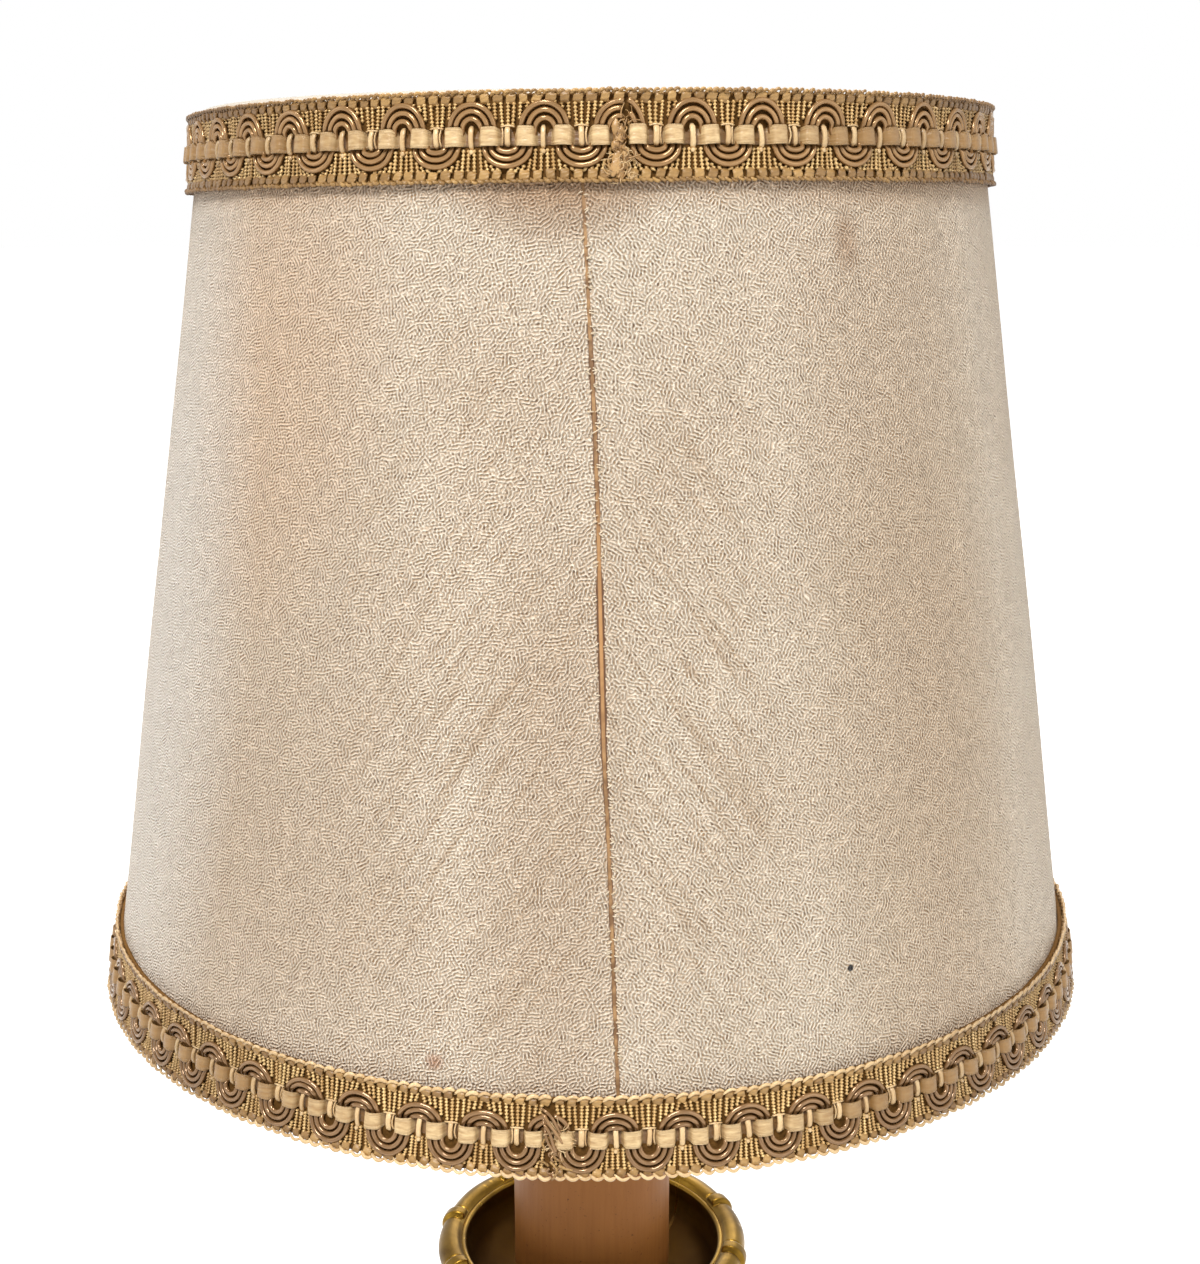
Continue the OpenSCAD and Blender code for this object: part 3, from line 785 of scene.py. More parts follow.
# Heights above the fabric, in millimetres, and how far the cords dip and the ribbon rises and crowns
CORD_OUT = 1.18
CORD_DIP = 0.52
RIBBON_OUT = 0.30
RIBBON_RISE = 1.32
RIBBON_CROWN = 0.5
THREAD_OUT = 0.70
GROUND_OUT = 0.34
GROUND_BACK = 0.02
GROUND_ROWS = 20


class Trim:
    """Where one braid lies: its periods round the shade, its top edge, its cut joint and how it stands off.

    drop is how far its curves and ribbon lie below the pattern's usual level, and stand_off how far its top
    and bottom edges stand away from the fabric. arches and bowls are the depths of the three cords' curves,
    ribbon is the ribbon's half width, and dip how far from a bar the ribbon starts to rise. tuck is how much
    longer the threads are, where the satin ends over them are shorter, and loops how many edge loops a pair
    of threads has. Angles are in degrees, top is in metres and other lengths are in millimetres.
    """

    def __init__(self, label, top, depth, drop, arches, bowls, pitch, first, joint, width, stand_off, seed,
            ribbon, dip, tuck, loops, edge_thread):
        self.label = label
        self.node = label + "_braid"
        self.top = top
        self.stretch = depth / BRAID_DEPTH
        self.drop = drop
        self.arch_depths = arches
        self.bowl_depths = bowls
        self.pitch = math.radians(pitch)
        self.first = math.radians(first)
        self.joint = (math.radians(joint) - self.first) / self.pitch
        self.periods = TAU / self.pitch
        self.width = width
        self.start = self.joint * width
        self.stand_off = stand_off
        self.seed = seed
        self.ribbon = ribbon
        self.dip = dip
        self.tuck = tuck
        self.loops = loops
        self.edge_thread = edge_thread

    def azimuth(self, along):
        """Azimuth of a place along the braid, in millimetres from the first arch's centre."""
        return self.first + np.asarray(along) / self.width * self.pitch

    def points(self, along, down, out):
        """Places on the braid: millimetres along, down from its top edge, and out from the fabric."""
        share = np.clip(np.asarray(down) / BRAID_DEPTH, 0, 1)
        down = np.asarray(down) + self.drop * np.sin(share * math.pi) ** 1.5
        height = self.top - down * self.stretch * MM * math.cos(shade_slope())
        lifted = self.stand_off[0] * (1 - share) ** 2 + self.stand_off[1] * share ** 2
        out = np.where(np.asarray(out) > 0.1, out + lifted, out)
        return on_shade(self.azimuth(along), height, out * MM)

    def tubes(self, along, down, out, side, thick=None, sides=8, square=1.0):
        """Tubes laid on the braid, their places in millimetres and their radii in metres."""
        along, down, out = np.broadcast_arrays(along, down, out)
        paths = self.points(along, down, out)
        return tubes(paths, out_of_shade(self.azimuth(along), paths), side, thick, sides, square)

    def piece(self, name, parts, material):
        """One piece of this braid from its parts, with the material of that name."""
        points, faces, uvs = join(parts)
        return add_piece(f"{self.label}_braid_{name}", points, faces, bpy.data.materials[material], "shade",
            uvs)


def winding(trim, lane):
    """One period of a winding cord, from one bowl's bottom to the next one's, as (along, down)."""
    across, back = HALF_WIDTHS[lane], HALF_WIDTHS[2 - lane]
    width, arch, bowl = trim.width, trim.arch_depths[lane], trim.bowl_depths[lane]

    def leg(start, end):
        return start + (end - start) * np.array([0.25, 0.5, 0.75])[:, None]

    up = arc((0, BOWL_LEVEL), back, bowl, 90, 0, 9)
    over = arc((width / 2, ARCH_LEVEL), across, -arch, 180, 0, 19)
    down = arc((width, BOWL_LEVEL), back, bowl, 180, 90, 9)
    return np.concatenate([up, leg(up[-1], over[0]), over, leg(over[-1], down[0]), down[:-1]])


def braid_cords(trim):
    """The three satin cords that wind side by side in arches and bowls, cut at the joint."""
    rng = np.random.default_rng(trim.seed)
    count = int(trim.periods) + 3
    shift = math.floor(trim.joint) - 1
    parts = []
    sway = rng.normal(0, 0.09, (3, count, 2))
    for lane in range(3):
        line = winding(trim, lane)
        step = np.arange(count)[:, None]
        along = line[:, 0] + (step + shift - 0.5) * trim.width
        swing = (line[:, 1] - RIBBON_LEVEL) / 4.0
        down = line[:, 1] + np.where(swing < 0, sway[lane, :, :1], 0) * swing ** 2
        along = along.ravel() + np.repeat(sway[lane, :, 1], len(line)) * np.tile(swing < 0, count) * 0.8
        down = down.ravel()
        end = trim.start + trim.periods * trim.width
        keep = (along > trim.start + 0.3 + 0.15 * lane) & (along < end - 0.3)
        along, down = along[keep], down[keep]
        under = np.clip((2.0 - abs(down - RIBBON_LEVEL)) / 0.7, 0, 1)
        near_end = np.minimum(along - trim.start, end - along)
        lifted = 0.6 * np.exp(-near_end ** 2)
        out = CORD_OUT - CORD_DIP * under + 0.05 * np.sin(along * 1.7 + lane) + lifted
        side = sizes().cord_radius * (1 - 0.10 * under)
        parts.append(trim.tubes(along[None], down[None], out[None], side[None], sizes().cord_radius,
            sides=12))
    trim.piece("cords", parts, trim.label + "_cord_satin")


def braid_ribbon(trim):
    """The flat satin ribbon, high over the cords' legs and held down under each upright bar."""
    half = trim.width / 2
    bars = int(round(trim.periods * 2))
    along = trim.start + 0.5 + np.linspace(0, trim.periods * trim.width - 1.0, bars * 22)
    place = (along / half) % 1.0
    from_bar = np.minimum(place, 1 - place) * half
    rise = np.clip((from_bar - trim.dip) / 0.5, 0, 1)
    rise = rise * rise * (3 - 2 * rise)
    crown = RIBBON_CROWN * np.sin(np.clip((from_bar - 1.2) / (half / 2 - 1.2), 0, 1) * math.pi / 2)
    out = RIBBON_OUT + RIBBON_RISE * rise + crown
    rng = np.random.default_rng(trim.seed + 1)
    knots = np.linspace(along[0], along[-1], 2 * bars)
    wander = np.interp(along, knots, rng.normal(0, 0.07, len(knots)))
    pinch = trim.ribbon - 0.22 * (1 - rise) + np.interp(along, knots, rng.normal(0, 0.05, len(knots)))
    sides = 16
    points, faces, uvs = trim.tubes(along[None], (RIBBON_LEVEL + wander)[None], out[None],
        pinch[None] * MM, 0.12 * MM, sides, square=0.35)
    uvs = np.stack([np.repeat(along / half, sides), uvs[:, 1]], axis=-1)
    trim.piece("ribbon", [(points, faces, uvs)], "braid_ribbon_satin")


def braid_bars(trim):
    """Upright bars of bright thread that hold the ribbon down at every arch and every bowl."""
    rng = np.random.default_rng(trim.seed + 2)
    half = trim.width / 2
    first = math.ceil(trim.joint * 2 + 0.25)
    last = math.floor((trim.joint + trim.periods) * 2 - 0.25)
    index = np.arange(first, last + 1)[:, None]
    arches = index % 2 == 0
    along = index * half + rng.normal(0, 0.09, index.shape)
    t = np.linspace(0, 1, 10)
    hump = np.sin(t * math.pi)
    top = np.where(arches, 5.75, 5.85)
    bottom = np.where(arches, 9.25, 8.95) + rng.normal(0, 0.08, index.shape)
    shape = np.where((t == 0) | (t == 1), 0.7, 1.0) * (1 + 0.04 * np.cos(t * TAU))
    width = np.where(arches, 0.44, 0.46) * rng.uniform(0.85, 1.12, index.shape) * shape * MM
    lean = rng.normal(0, 0.16, index.shape) * (t - 0.5)
    parts = [trim.tubes(along + lean, top + (bottom - top) * t, 0.66 + 0.72 * hump ** 0.45, width,
        0.30 * MM, sides=12, square=0.7)]
    bowls = along[~arches][:, None]
    side = np.where(rng.uniform(0, 1, bowls.shape) > 0.25, 0.86, -0.86) + rng.normal(0, 0.10, bowls.shape)
    parts.append(trim.tubes(bowls + side * (1 - 0.25 * hump), 5.85 + 3.0 * t, 0.72 + 0.38 * hump, 0.15 * MM))
    cross = np.linspace(-1.15, 1.15, 9)
    parts.append(trim.tubes(bowls + cross, 5.72 + 0.10 * cross ** 2 + rng.normal(0, 0.08, bowls.shape),
        1.18 - 0.22 * cross ** 2, 0.16 * MM))
    knots = along[arches][:, None]
    swell = np.sin(np.linspace(0.16, 0.84, 6) * math.pi)
    parts.append(trim.tubes(knots + rng.normal(0, 0.1, knots.shape), np.linspace(9.45, 10.15, 6), 1.02,
        0.42 * swell * MM, 0.32 * MM))
    trim.piece("bars", parts, "braid_cream_thread")


def beaded(trim, along, top, bottom, bend, rng):
    """Upright threads between two levels, swelling into beads; bend draws their lower ends sideways."""
    seen = bottom - top > SHORTEST_THREAD
    along, top, bottom, bend = (values[seen][:, None] for values in (along, top, bottom, bend))
    beads = np.maximum(np.round((bottom - top) / BEAD_LENGTH), 1).astype(int)[:, 0]
    parts = []
    for count in np.unique(beads):
        chosen = beads == count
        t = np.linspace(0, 1, count * 4 + 1)
        down = top[chosen] + (bottom - top)[chosen] * t
        swell = 0.85 + 1.75 * np.sin(t * count * math.pi) ** 2
        radius = sizes().thread_radius * swell * rng.uniform(0.92, 1.10, (sum(chosen), 1))
        out = THREAD_OUT + 0.07 * rng.normal(0, 1, (sum(chosen), 1))
        bent = along[chosen] + bend[chosen] * t ** 1.6
        parts.append(trim.tubes(bent, down, out, radius, radius * 1.25, sides=6))
    return parts


def braid_threads(trim):
    """Beaded upright threads of the ground, above the ribbon between arches and below it between bowls."""
    rng = np.random.default_rng(trim.seed + 3)
    width = trim.width
    spacing = width / THREADS_PER_PERIOD
    along = trim.start + 0.7 + np.arange(int(trim.periods * THREADS_PER_PERIOD) - 1) * spacing
    along = np.round(along / spacing - 0.5) * spacing + spacing / 2 + rng.normal(0, 0.05, len(along))
    from_arch = (along + width / 2) % width - width / 2
    to_bowl = np.where(from_arch > 0, width / 2 - from_arch, -width / 2 - from_arch)

    def cover(across):
        """How far up its curve the outermost cord covers a thread, as a share."""
        return np.clip(1 - (across / (HALF_WIDTHS[0] + CORD_CLEARANCE)) ** 2, 0, 1) ** 0.5

    share = cover(from_arch)
    top = rng.uniform(*THREAD_TOPS, len(along)) - trim.tuck
    edge = ARCH_LEVEL - (trim.arch_depths[0] + CORD_CLEARANCE) * share + 0.25
    bend = to_bowl * np.where(share > 0, 0.08, 0.24)
    parts = beaded(trim, along, top, np.where(share > 0, edge, UNDER_RIBBON[0]), bend, rng)
    share = cover(to_bowl)
    edge = BOWL_LEVEL + (trim.bowl_depths[2] + CORD_CLEARANCE) * share - 0.25
    bottom = rng.uniform(*THREAD_BOTTOMS, len(along)) + trim.tuck
    pull = from_arch * 0.14
    parts += beaded(trim, along - pull, np.where(share > 0, edge, UNDER_RIBBON[1]), bottom, pull, rng)
    trim.piece("threads", parts, "braid_beaded_thread")


def braid_edges(trim):
    """Satin ends that bind the threads in pairs along both edges, and the thread looped past them."""
    rng = np.random.default_rng(trim.seed + 4)
    spacing = 2 * trim.width / THREADS_PER_PERIOD
    first = math.ceil(trim.start / spacing)
    index = np.arange(first, first + int(trim.periods * THREADS_PER_PERIOD / 2 + 0.01))[:, None]
    along = (index + 0.5) * spacing

    def vary(middle, spread):
        return rng.normal(middle, spread, index.shape)

    parts = []
    short = 0.45 if trim.tuck else 0.0
    t = np.array([0, 0.05, 0.2, 0.4, 0.6, 0.8, 0.95, 1])
    swell = np.where((t == 0) | (t == 1), 0.80, 1.0)
    for top, bottom in ((0.45, 2.0 - short), (12.85 + short, 14.45)):
        shift = vary(0, 0.07)
        slant = vary(-0.25, 0.22)
        down = top + (bottom - top) * t + vary(0, 0.07)
        out = 0.60 + 0.34 * np.sin(t * math.pi) ** 0.6 + 0.08 * vary(0, 1)
        width = 0.37 * spacing * swell * rng.uniform(0.82, 1.10, index.shape) * MM
        parts.append(trim.tubes(along + shift + slant * (t - 0.5), down, out, width, 0.30 * swell * MM,
            sides=16, square=0.50))
    loops = []
    if trim.loops == 2:
        along = np.concatenate([along - spacing / 4, along + spacing / 4])
    size = 2.0 / trim.loops
    t = np.linspace(-0.56, 0.56, 9)
    bow = np.cos(t * math.pi)
    for level, lean in ((0.55, -0.46), (14.40, 0.42)):
        x = along + t * spacing * size * rng.uniform(0.44, 0.56, along.shape)
        down = level + lean * t * rng.uniform(0.6, 1.3, along.shape) + 0.26 * size * bow * np.sign(lean)
        down = down + rng.normal(0, 0.07, along.shape)
        out = 0.95 + 0.25 * bow + 0.08 * rng.normal(0, 1, along.shape)
        thick = 0.31 * np.clip(1.25 - 2.4 * abs(t) ** 2, 0.4, 1) * rng.uniform(0.8, 1.15, along.shape) * MM
        loops.append(trim.tubes(x, down, out, thick))
    trim.piece("edge_cord", loops, trim.edge_thread)
    trim.piece("edge_ends", parts, "braid_gold_thread")


def braid_ground(trim):
    """The cloth band behind everything, ribbed where the threads bind it."""
    columns = int(trim.periods * 20)
    along = trim.start + np.arange(columns) * trim.periods * trim.width / columns
    down = np.concatenate([np.linspace(*GROUND_EDGES, GROUND_ROWS), GROUND_EDGES[::-1]])
    out = np.concatenate([np.full(GROUND_ROWS, GROUND_OUT), [GROUND_BACK] * 2])
    x, d = np.meshgrid(along, down, indexing="ij")
    rib = 0.08 * np.cos(x / trim.width * THREADS_PER_PERIOD * TAU) * (out > 0.1)
    points = trim.points(x, d, np.broadcast_to(out, x.shape) - rib).reshape(-1, 3)
    uvs = np.stack([x, d], axis=-1).reshape(-1, 2) * MM
    ground = trim.piece("ground", [(points, grid_faces(columns, len(down), True, True), uvs)],
        "braid_ground_cloth")
    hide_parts(trim.node)


def loose_fibres(trim, name, material, count, place, spread, levels, reaches, thickness, lift):
    """Fine fibres that curl out of the place where the braid was cut and its two ends glued side by side.

    place is where along the braid their roots are, spread how far to each side of it, levels how far down,
    reaches and thickness their least and greatest length and radius, and lift how far they stand out, all
    in millimetres.
    """
    rng = np.random.default_rng(trim.seed + len(name))

    def between(low, high):
        return rng.uniform(low, high, (count, 1))

    t = np.linspace(0, 1, 9)
    x = place + between(-spread, spread)
    down = between(*levels)
    reach = between(*reaches)
    turn = between(0, TAU) + rng.normal(0, 1.8, (count, 1)) * t
    x = x + reach * np.cumsum(np.cos(turn), axis=1) / len(t)
    down = np.clip(down + reach * np.cumsum(np.sin(turn), axis=1) / len(t), 0.3, 15.2)
    out = 1.0 + lift * t * between(0.2, 1.0) + between(0, 0.7)
    thin = between(*thickness) * (1 - 0.5 * t) * MM
    trim.piece(name, [trim.tubes(x, down, out, thin, sides=6)], material)


def make_braid(trim):
    """Makes one braid from its ground outwards."""
    for layer in (braid_ground, braid_threads, braid_edges, braid_cords, braid_ribbon, braid_bars):
        layer(trim)


class LAMP_OT_braid_finishes(bpy.types.Operator):
    """Make the satin, thread and cloth finishes that both braids share"""

    bl_idname = "lamp.braid_finishes"
    bl_label = "Braid Finishes"

    def execute(self, context):
        ground_material()
        ribbon_material()
        cord = {"slant": 700.0, "strands": 6.0, "depth": 0.000005, "gloss": 1.0, "gleam": 0.3}
        thread = {"slant": 1500.0, "strands": 3.0}
        satin_material("bottom_cord_satin", colour("cord"), (0.38, 0.26, 0.145), roughness=0.17,
            sheen=(1.0, 0.87, 0.72), **cord)
        satin_material("top_cord_satin", (0.66, 0.50, 0.315), (0.42, 0.30, 0.17), roughness=0.19,
            side_shade=0.15, sheen=(1.0, 0.85, 0.64), **cord)
        satin_material("braid_gold_thread", colour("thread"), (0.40, 0.27, 0.13), roughness=0.40,
            depth=0.00012, gloss=0.4, uneven=0.5, side_shade=0.7, **thread)
        satin_material("braid_beaded_thread", (0.96, 0.83, 0.58), (0.68, 0.51, 0.28), roughness=0.33,
            gleam=0.2, uneven=0.5, **thread)
        satin_material("braid_cream_thread", (0.93, 0.815, 0.62), (0.70, 0.54, 0.34), roughness=0.34,
            **thread)
        return {"FINISHED"}


class LAMP_OT_top_braid(bpy.types.Operator):
    """Make the braid round the shade's top edge, with the glue that holds its joint"""

    bl_idname = "lamp.top_braid"
    bl_label = "Top Braid"

    def execute(self, context):
        trim = Trim("top", top=SHADE_H, depth=15.0, drop=0.0, arches=(4.4, 3.16, 1.9),
            bowls=(0.86, 2.0, 3.15), pitch=360 / 42, first=11.82, joint=4.0, width=12.2,
            stand_off=(1.4, 0.2), seed=21, ribbon=1.56, dip=1.40, tuck=0.0, loops=2,
            edge_thread="braid_gold_thread")
        make_braid(trim)
        dried_glue_material()
        rng = np.random.default_rng(5)
        t = np.linspace(0, 1, 16)
        lumps = (16, 1)
        along = trim.start - 0.9 + rng.normal(0, 0.5, lumps)
        down = np.linspace(4.4, 12.4, lumps[0])[:, None] + rng.uniform(1.6, 3.6, lumps) * t
        along = along + rng.normal(0, 0.7, lumps) * t
        out = 1.25 + 0.35 * rng.uniform(-1, 1, lumps)
        side = rng.uniform(0.35, 0.8, lumps) * np.sin(np.clip(t, 0.04, 0.96) * math.pi) ** 0.6 * MM
        trim.piece("glue", [trim.tubes(along, down, out, side, side * 0.55, sides=12)], "dried_glue")
        loose_fibres(trim, "glued_fibres", "dried_glue", count=70, place=trim.start - 0.5, spread=1.3,
            levels=(4.5, 14.0), reaches=(0.8, 2.6), thickness=(0.07, 0.17), lift=0.8)
        loose_fibres(trim, "frayed_ends", "braid_cream_thread", count=34, place=trim.start - 0.3,
            spread=1.6, levels=(9.0, 14.4), reaches=(1.2, 3.0), thickness=(0.06, 0.14), lift=1.0)
        return {"FINISHED"}


class LAMP_OT_bottom_braid(bpy.types.Operator):
    """Make the braid round the shade's bottom edge, with the cord ends that hang loose at its joint"""

    bl_idname = "lamp.bottom_braid"
    bl_label = "Bottom Braid"

    def execute(self, context):
        depth = 14.4
        trim = Trim("bottom", top=(depth - 0.7) * MM * math.cos(shade_slope()), depth=depth, drop=0.25,
            arches=(3.1, 2.05, 0.95), bowls=(2.0, 3.2, 4.4), pitch=6.322, first=2.18, joint=-3.9,
            width=11.8, stand_off=(0.5, 0.8), seed=47, ribbon=1.46, dip=1.20, tuck=0.35, loops=1,
            edge_thread="braid_cream_thread")
        make_braid(trim)
        place = trim.start
        rng = np.random.default_rng(8)
        t = np.linspace(0, 1, 24)
        ends = (5, 1)
        lane = np.arange(ends[0])[:, None]
        along = place - 1.7 + 0.1 * lane + (4.2 - 0.45 * lane) * t + 0.25 * np.sin(t * 5 + lane * 2)
        down = 1.9 + 0.95 * lane + (5.2 - 0.2 * lane) * t ** 1.5 + 0.2 * np.cos(t * 4 + lane)
        out = 1.35 + 0.7 * np.sin(t * math.pi * 0.8) + 0.35 * np.sin(lane * 2.4)
        side = sizes().cord_radius * 0.66 * np.clip(t * 6, 0.5, 1)
        falling = trim.tubes(along, down, out, side, sides=10)
        turn = rng.uniform(0, TAU, ends) + (4.2 + rng.uniform(0, 2, ends)) * t
        along = place + 0.7 + rng.normal(0, 0.5, ends) + 0.75 * np.cos(turn)
        down = np.linspace(8.8, 12.8, ends[0])[:, None] + 0.8 * np.sin(turn) + 0.8 * t
        curled = trim.tubes(along, down, 1.3 + 0.4 * np.sin(turn * 0.7), side * 0.75, sides=10)
        trim.piece("cord_ends", [falling, curled], "bottom_cord_satin")
        loose_fibres(trim, "frayed_ribbon", "braid_cream_thread", count=60, place=place + 2.0, spread=1.0,
            levels=(5.8, 9.2), reaches=(1.4, 3.0), thickness=(0.08, 0.15), lift=0.8)
        loose_fibres(trim, "frayed_ends", "braid_gold_thread", count=16, place=place + 0.4, spread=1.1,
            levels=(7.4, 13.2), reaches=(2.0, 3.6), thickness=(0.20, 0.34), lift=0.5)
        return {"FINISHED"}


# Brass


# Bands of the rim: half width, softness of their edges, depth and place of the grooves beside them, and how
# far the rim swells between them
HALF_BAND = 0.0016
BAND_SOFTNESS = 0.00016
GROOVE_DEPTH = 0.00030
GROOVE_BESIDE_BAND = 0.00055
GROOVE_WIDTH = 0.00035
SWELL = 0.00022
# Greatest distance from the middle of the rolled rim that still belongs to it
ROLL_REACH = 0.0036


def banded(ring_radius, middle_z, count, phase):
    """A shape_column for lathe(): raises bands round a rolled rim, on the outside of its tube."""
    rise = sizes().band_rise

    def shape_column(angle, profile):
        from_tube = profile - np.array([ring_radius, middle_z])
        reach = np.hypot(from_tube[:, 0], from_tube[:, 1])
        outside = np.clip((profile[:, 0] - (ring_radius - 0.0019)) / 0.0005, 0, 1)
        pitch = TAU / count
        from_band = abs((angle - math.radians(phase) + pitch / 2) % pitch - pitch / 2) * ring_radius
        edge = 1 / (1 + np.exp((from_band - HALF_BAND) / BAND_SOFTNESS))
        groove = np.exp(-((from_band - HALF_BAND - GROOVE_BESIDE_BAND) / GROOVE_WIDTH) ** 2)
        barrel = SWELL * (1 - np.cos(np.clip(from_band / (pitch * ring_radius / 2), 0, 1) * math.pi)) / 2
        on_rim = (reach < ROLL_REACH) * outside
        lift = (rise * edge - GROOVE_DEPTH * groove + barrel)[:, None] * on_rim[None, :]
        direction = from_tube / np.maximum(reach, 1e-6)[:, None]
        return profile[None] + lift[..., None] * direction[None]

    return shape_column


def pan_profile(ring_radius, tube_radius, middle_z, floor_z, wall, flat_radius, hole_radius):
    """The pan's closed section: floor, bowl, thin lip, rolled rim and the bowl's underside."""
    bowl_z = middle_z - 0.001
    half = ring_radius - tube_radius - flat_radius
    lip = (ring_radius - tube_radius + 0.0003, middle_z + 0.0012)
    return np.concatenate([
        np.linspace((hole_radius, floor_z), (flat_radius, floor_z), 8),
        arc((flat_radius, bowl_z), half, bowl_z - floor_z, -86, -2, 18),
        arc(lip, 0.0008, 0.0008, 190, 20, 9),
        arc((ring_radius, middle_z), tube_radius, tube_radius, 142, -128, 46),
        arc((flat_radius, bowl_z), half + wall, bowl_z - floor_z + wall, -14, -88, 16),
        np.linspace((flat_radius, floor_z - wall), (hole_radius, floor_z - wall), 6)])


class LAMP_OT_drip_pan(bpy.types.Operator):
    """Make the spun brass drip pan with its rolled rim and raised bands"""

    bl_idname = "lamp.drip_pan"
    bl_label = "Drip Pan"

    def execute(self, context):
        tube = 0.003
        ring = 0.0336
        middle = 0.150
        profile = pan_profile(ring, tube, middle, SLEEVE_LOW.z, wall=0.0015, flat_radius=0.019,
            hole_radius=0.0052)
        points, faces = lathe(profile, columns=900, shape_column=banded(ring, middle, count=10, phase=23))
        brass = brass_material("brass_pan", tarnish_share=0.9, roughness=0.22, inner_shade_and_tarnish=ring - tube)
        pan = add_piece("drip_pan_brass", points, faces, brass, "lamp")
        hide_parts("drip_pan")
        return {"FINISHED"}


class LAMP_OT_candle_sleeve(bpy.types.Operator):
    """Make the candle sleeve, slightly out of true, with a soft top edge"""

    bl_idname = "lamp.candle_sleeve"
    bl_label = "Candle Sleeve"

    def execute(self, context):
        wall = 0.002
        rounding = 0.001
        outer = SLEEVE_HIGH.x
        inner = outer - wall
        low, high = SLEEVE_LOW.z, SLEEVE_HIGH.z
        profile = np.concatenate([
            np.linspace((outer, low + 0.0003), (outer, high - rounding), 60),
            arc((outer - rounding, high - rounding), rounding, rounding, 10, 90, 6),
            np.linspace((inner, high - 0.0002), (inner, low), 12),
            [(outer - 0.0004, low)]])

        def uneven(angle, shape):
            swell = (0.00010 * np.sin(3 * angle[:, None] + shape[None, :, 1] * 60)
                + 0.00006 * np.sin(5 * angle[:, None] - shape[None, :, 1] * 140))
            return shape[None] - np.stack([abs(swell), 0 * swell], axis=-1)

        points, faces = lathe(profile, columns=220, shape_column=uneven)
        sleeve = add_piece("candle_sleeve_tan", points, faces, sleeve_material(), "lamp")
        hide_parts("candle_sleeve")
        return {"FINISHED"}


# Finishes of the pieces whose shapes come straight from the solids


def finish_nodes(material, names):
    """Gives the carried-over CAD nodes of these names one finish."""
    for name in names.split():
        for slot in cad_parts[name].material_slots:
            slot.material = material


# A finish, its tone on a screen, its roughness, its metallic share, its grain, the depth of its relief and
# how far its tone spreads, and the nodes that have it
PLAIN_FINISHES = (
    ("zinc_steel", (0.72, 0.73, 0.75), 0.36, 1.0, 900.0, 0.00003, 0.25,
        "terminal_screws rod_washer rod_nuts threaded_rod"),
    ("bright_contact_brass", (0.90, 0.76, 0.46), 0.25, 1.0, 1200.0, 0.00003, 0.25,
        "contact_shell centre_contact side_contact"),
    ("coated_wire", (0.80, 0.78, 0.72), 0.42, 0.0, 400.0, 0.00003, 0.25,
        "fitter_ring fitter_arms bottom_wire_ring top_wire_ring"),
    ("moulded_bakelite", (0.26, 0.15, 0.10), 0.28, 0.0, 500.0, 0.00003, 0.25, "holder_insert"),
    ("moulded_bush", (0.20, 0.16, 0.12), 0.5, 0.0, 900.0, 0.00003, 0.25, "cord_bushing"),
    ("cast_iron_raw", (0.28, 0.28, 0.29), 0.75, 0.4, 500.0, 0.0002, 0.25, "ballast_disc"),
    ("pressed_bulb_cap", (0.84, 0.84, 0.86), 0.24, 1.0, 1500.0, 0.00003, 0.25, "bulb_contact bulb_cap"),
    ("black_glass_insulator", (0.05, 0.05, 0.06), 0.12, 0.0, 700.0, 0.00003, 0.25, "bulb_insulator"),
    ("yellow_light_strip", (0.96, 0.78, 0.32), 0.55, 0.0, 2500.0, 0.00003, 0.25, "bulb_filament"),
    ("matt_backing_sheet", (0.93, 0.90, 0.84), 0.7, 0.0, 900.0, 0.00006, 0.12, "shade_backing"))


class LAMP_OT_stem_and_foot(bpy.types.Operator):
    """Finish the foot's spun shell and the stem's turned pieces"""

    bl_idname = "lamp.stem_and_foot"
    bl_label = "Stem and Foot"

    def execute(self, context):
        finish_nodes(brass_material("brass_stem", tarnish_share=0.75, roughness=0.28),
            "stem_collar_lower stem_shaft stem_collar_upper pan_cup foot")
        return {"FINISHED"}


class LAMP_OT_holder_and_bulb(bpy.types.Operator):
    """Finish the lampholder, the shade's wire frame, the bulb and the foot's inner pieces"""

    bl_idname = "lamp.holder_and_bulb"
    bl_label = "Holder and Bulb"

    def execute(self, context):
        finish_nodes(brass_material("brass_holder", tarnish_share=0.35, roughness=0.26),
            "holder_cap holder_shell lower_shade_ring clamp_ring sleeve_seat")
        for *finish, names in PLAIN_FINISHES:
            finish_nodes(plain_material(*finish), names)
        finish_nodes(glass_material(), "bulb_glass bulb_stem")
        finish_nodes(felt_material(), "base_felt")
        return {"FINISHED"}


class LAMP_OT_effects(bpy.types.Operator):
    """Build the shader groups that several finishes share"""

    bl_idname = "lamp.effects"
    bl_label = "Shared Effects"

    def execute(self, context):
        build_effect(crepe_ridges, ridge_pitch=0.0008)
        build_effect(cloth_creases, angle=0.9)
        build_effect(satin_twist, slant=900.0, strands=9.0)
        build_effect(old_stains, size=0.03)
        build_effect(metal_wear, tarnish_size=0.012)
        return {"FINISHED"}


# Each light, its place, its width and its power in watts
LIGHTS = (
    ("key_light", (-0.35, -1.30, 1.80), 0.7, 39.0),
    ("top_light", (-0.1, 0.25, 2.0), 0.5, 34.0),
    ("fill_light", (1.5, -1.3, 0.9), 1.4, 8.0),
    ("back_light", (0.3, 2.0, 1.4), 1.4, 14.0),
    ("left_light", (-1.6, -0.1, 0.7), 1.0, 3.6),
    ("right_light", (1.6, -0.1, 0.7), 1.0, 2.4))
# Place that all of them shine at
LIT_POINT = (0.0, 0.0, 0.27)
FLOOR_RADIUS = 30
FLOOR_Z = -0.00005
WHITE = (1.0, 1.0, 1.0, 1.0)


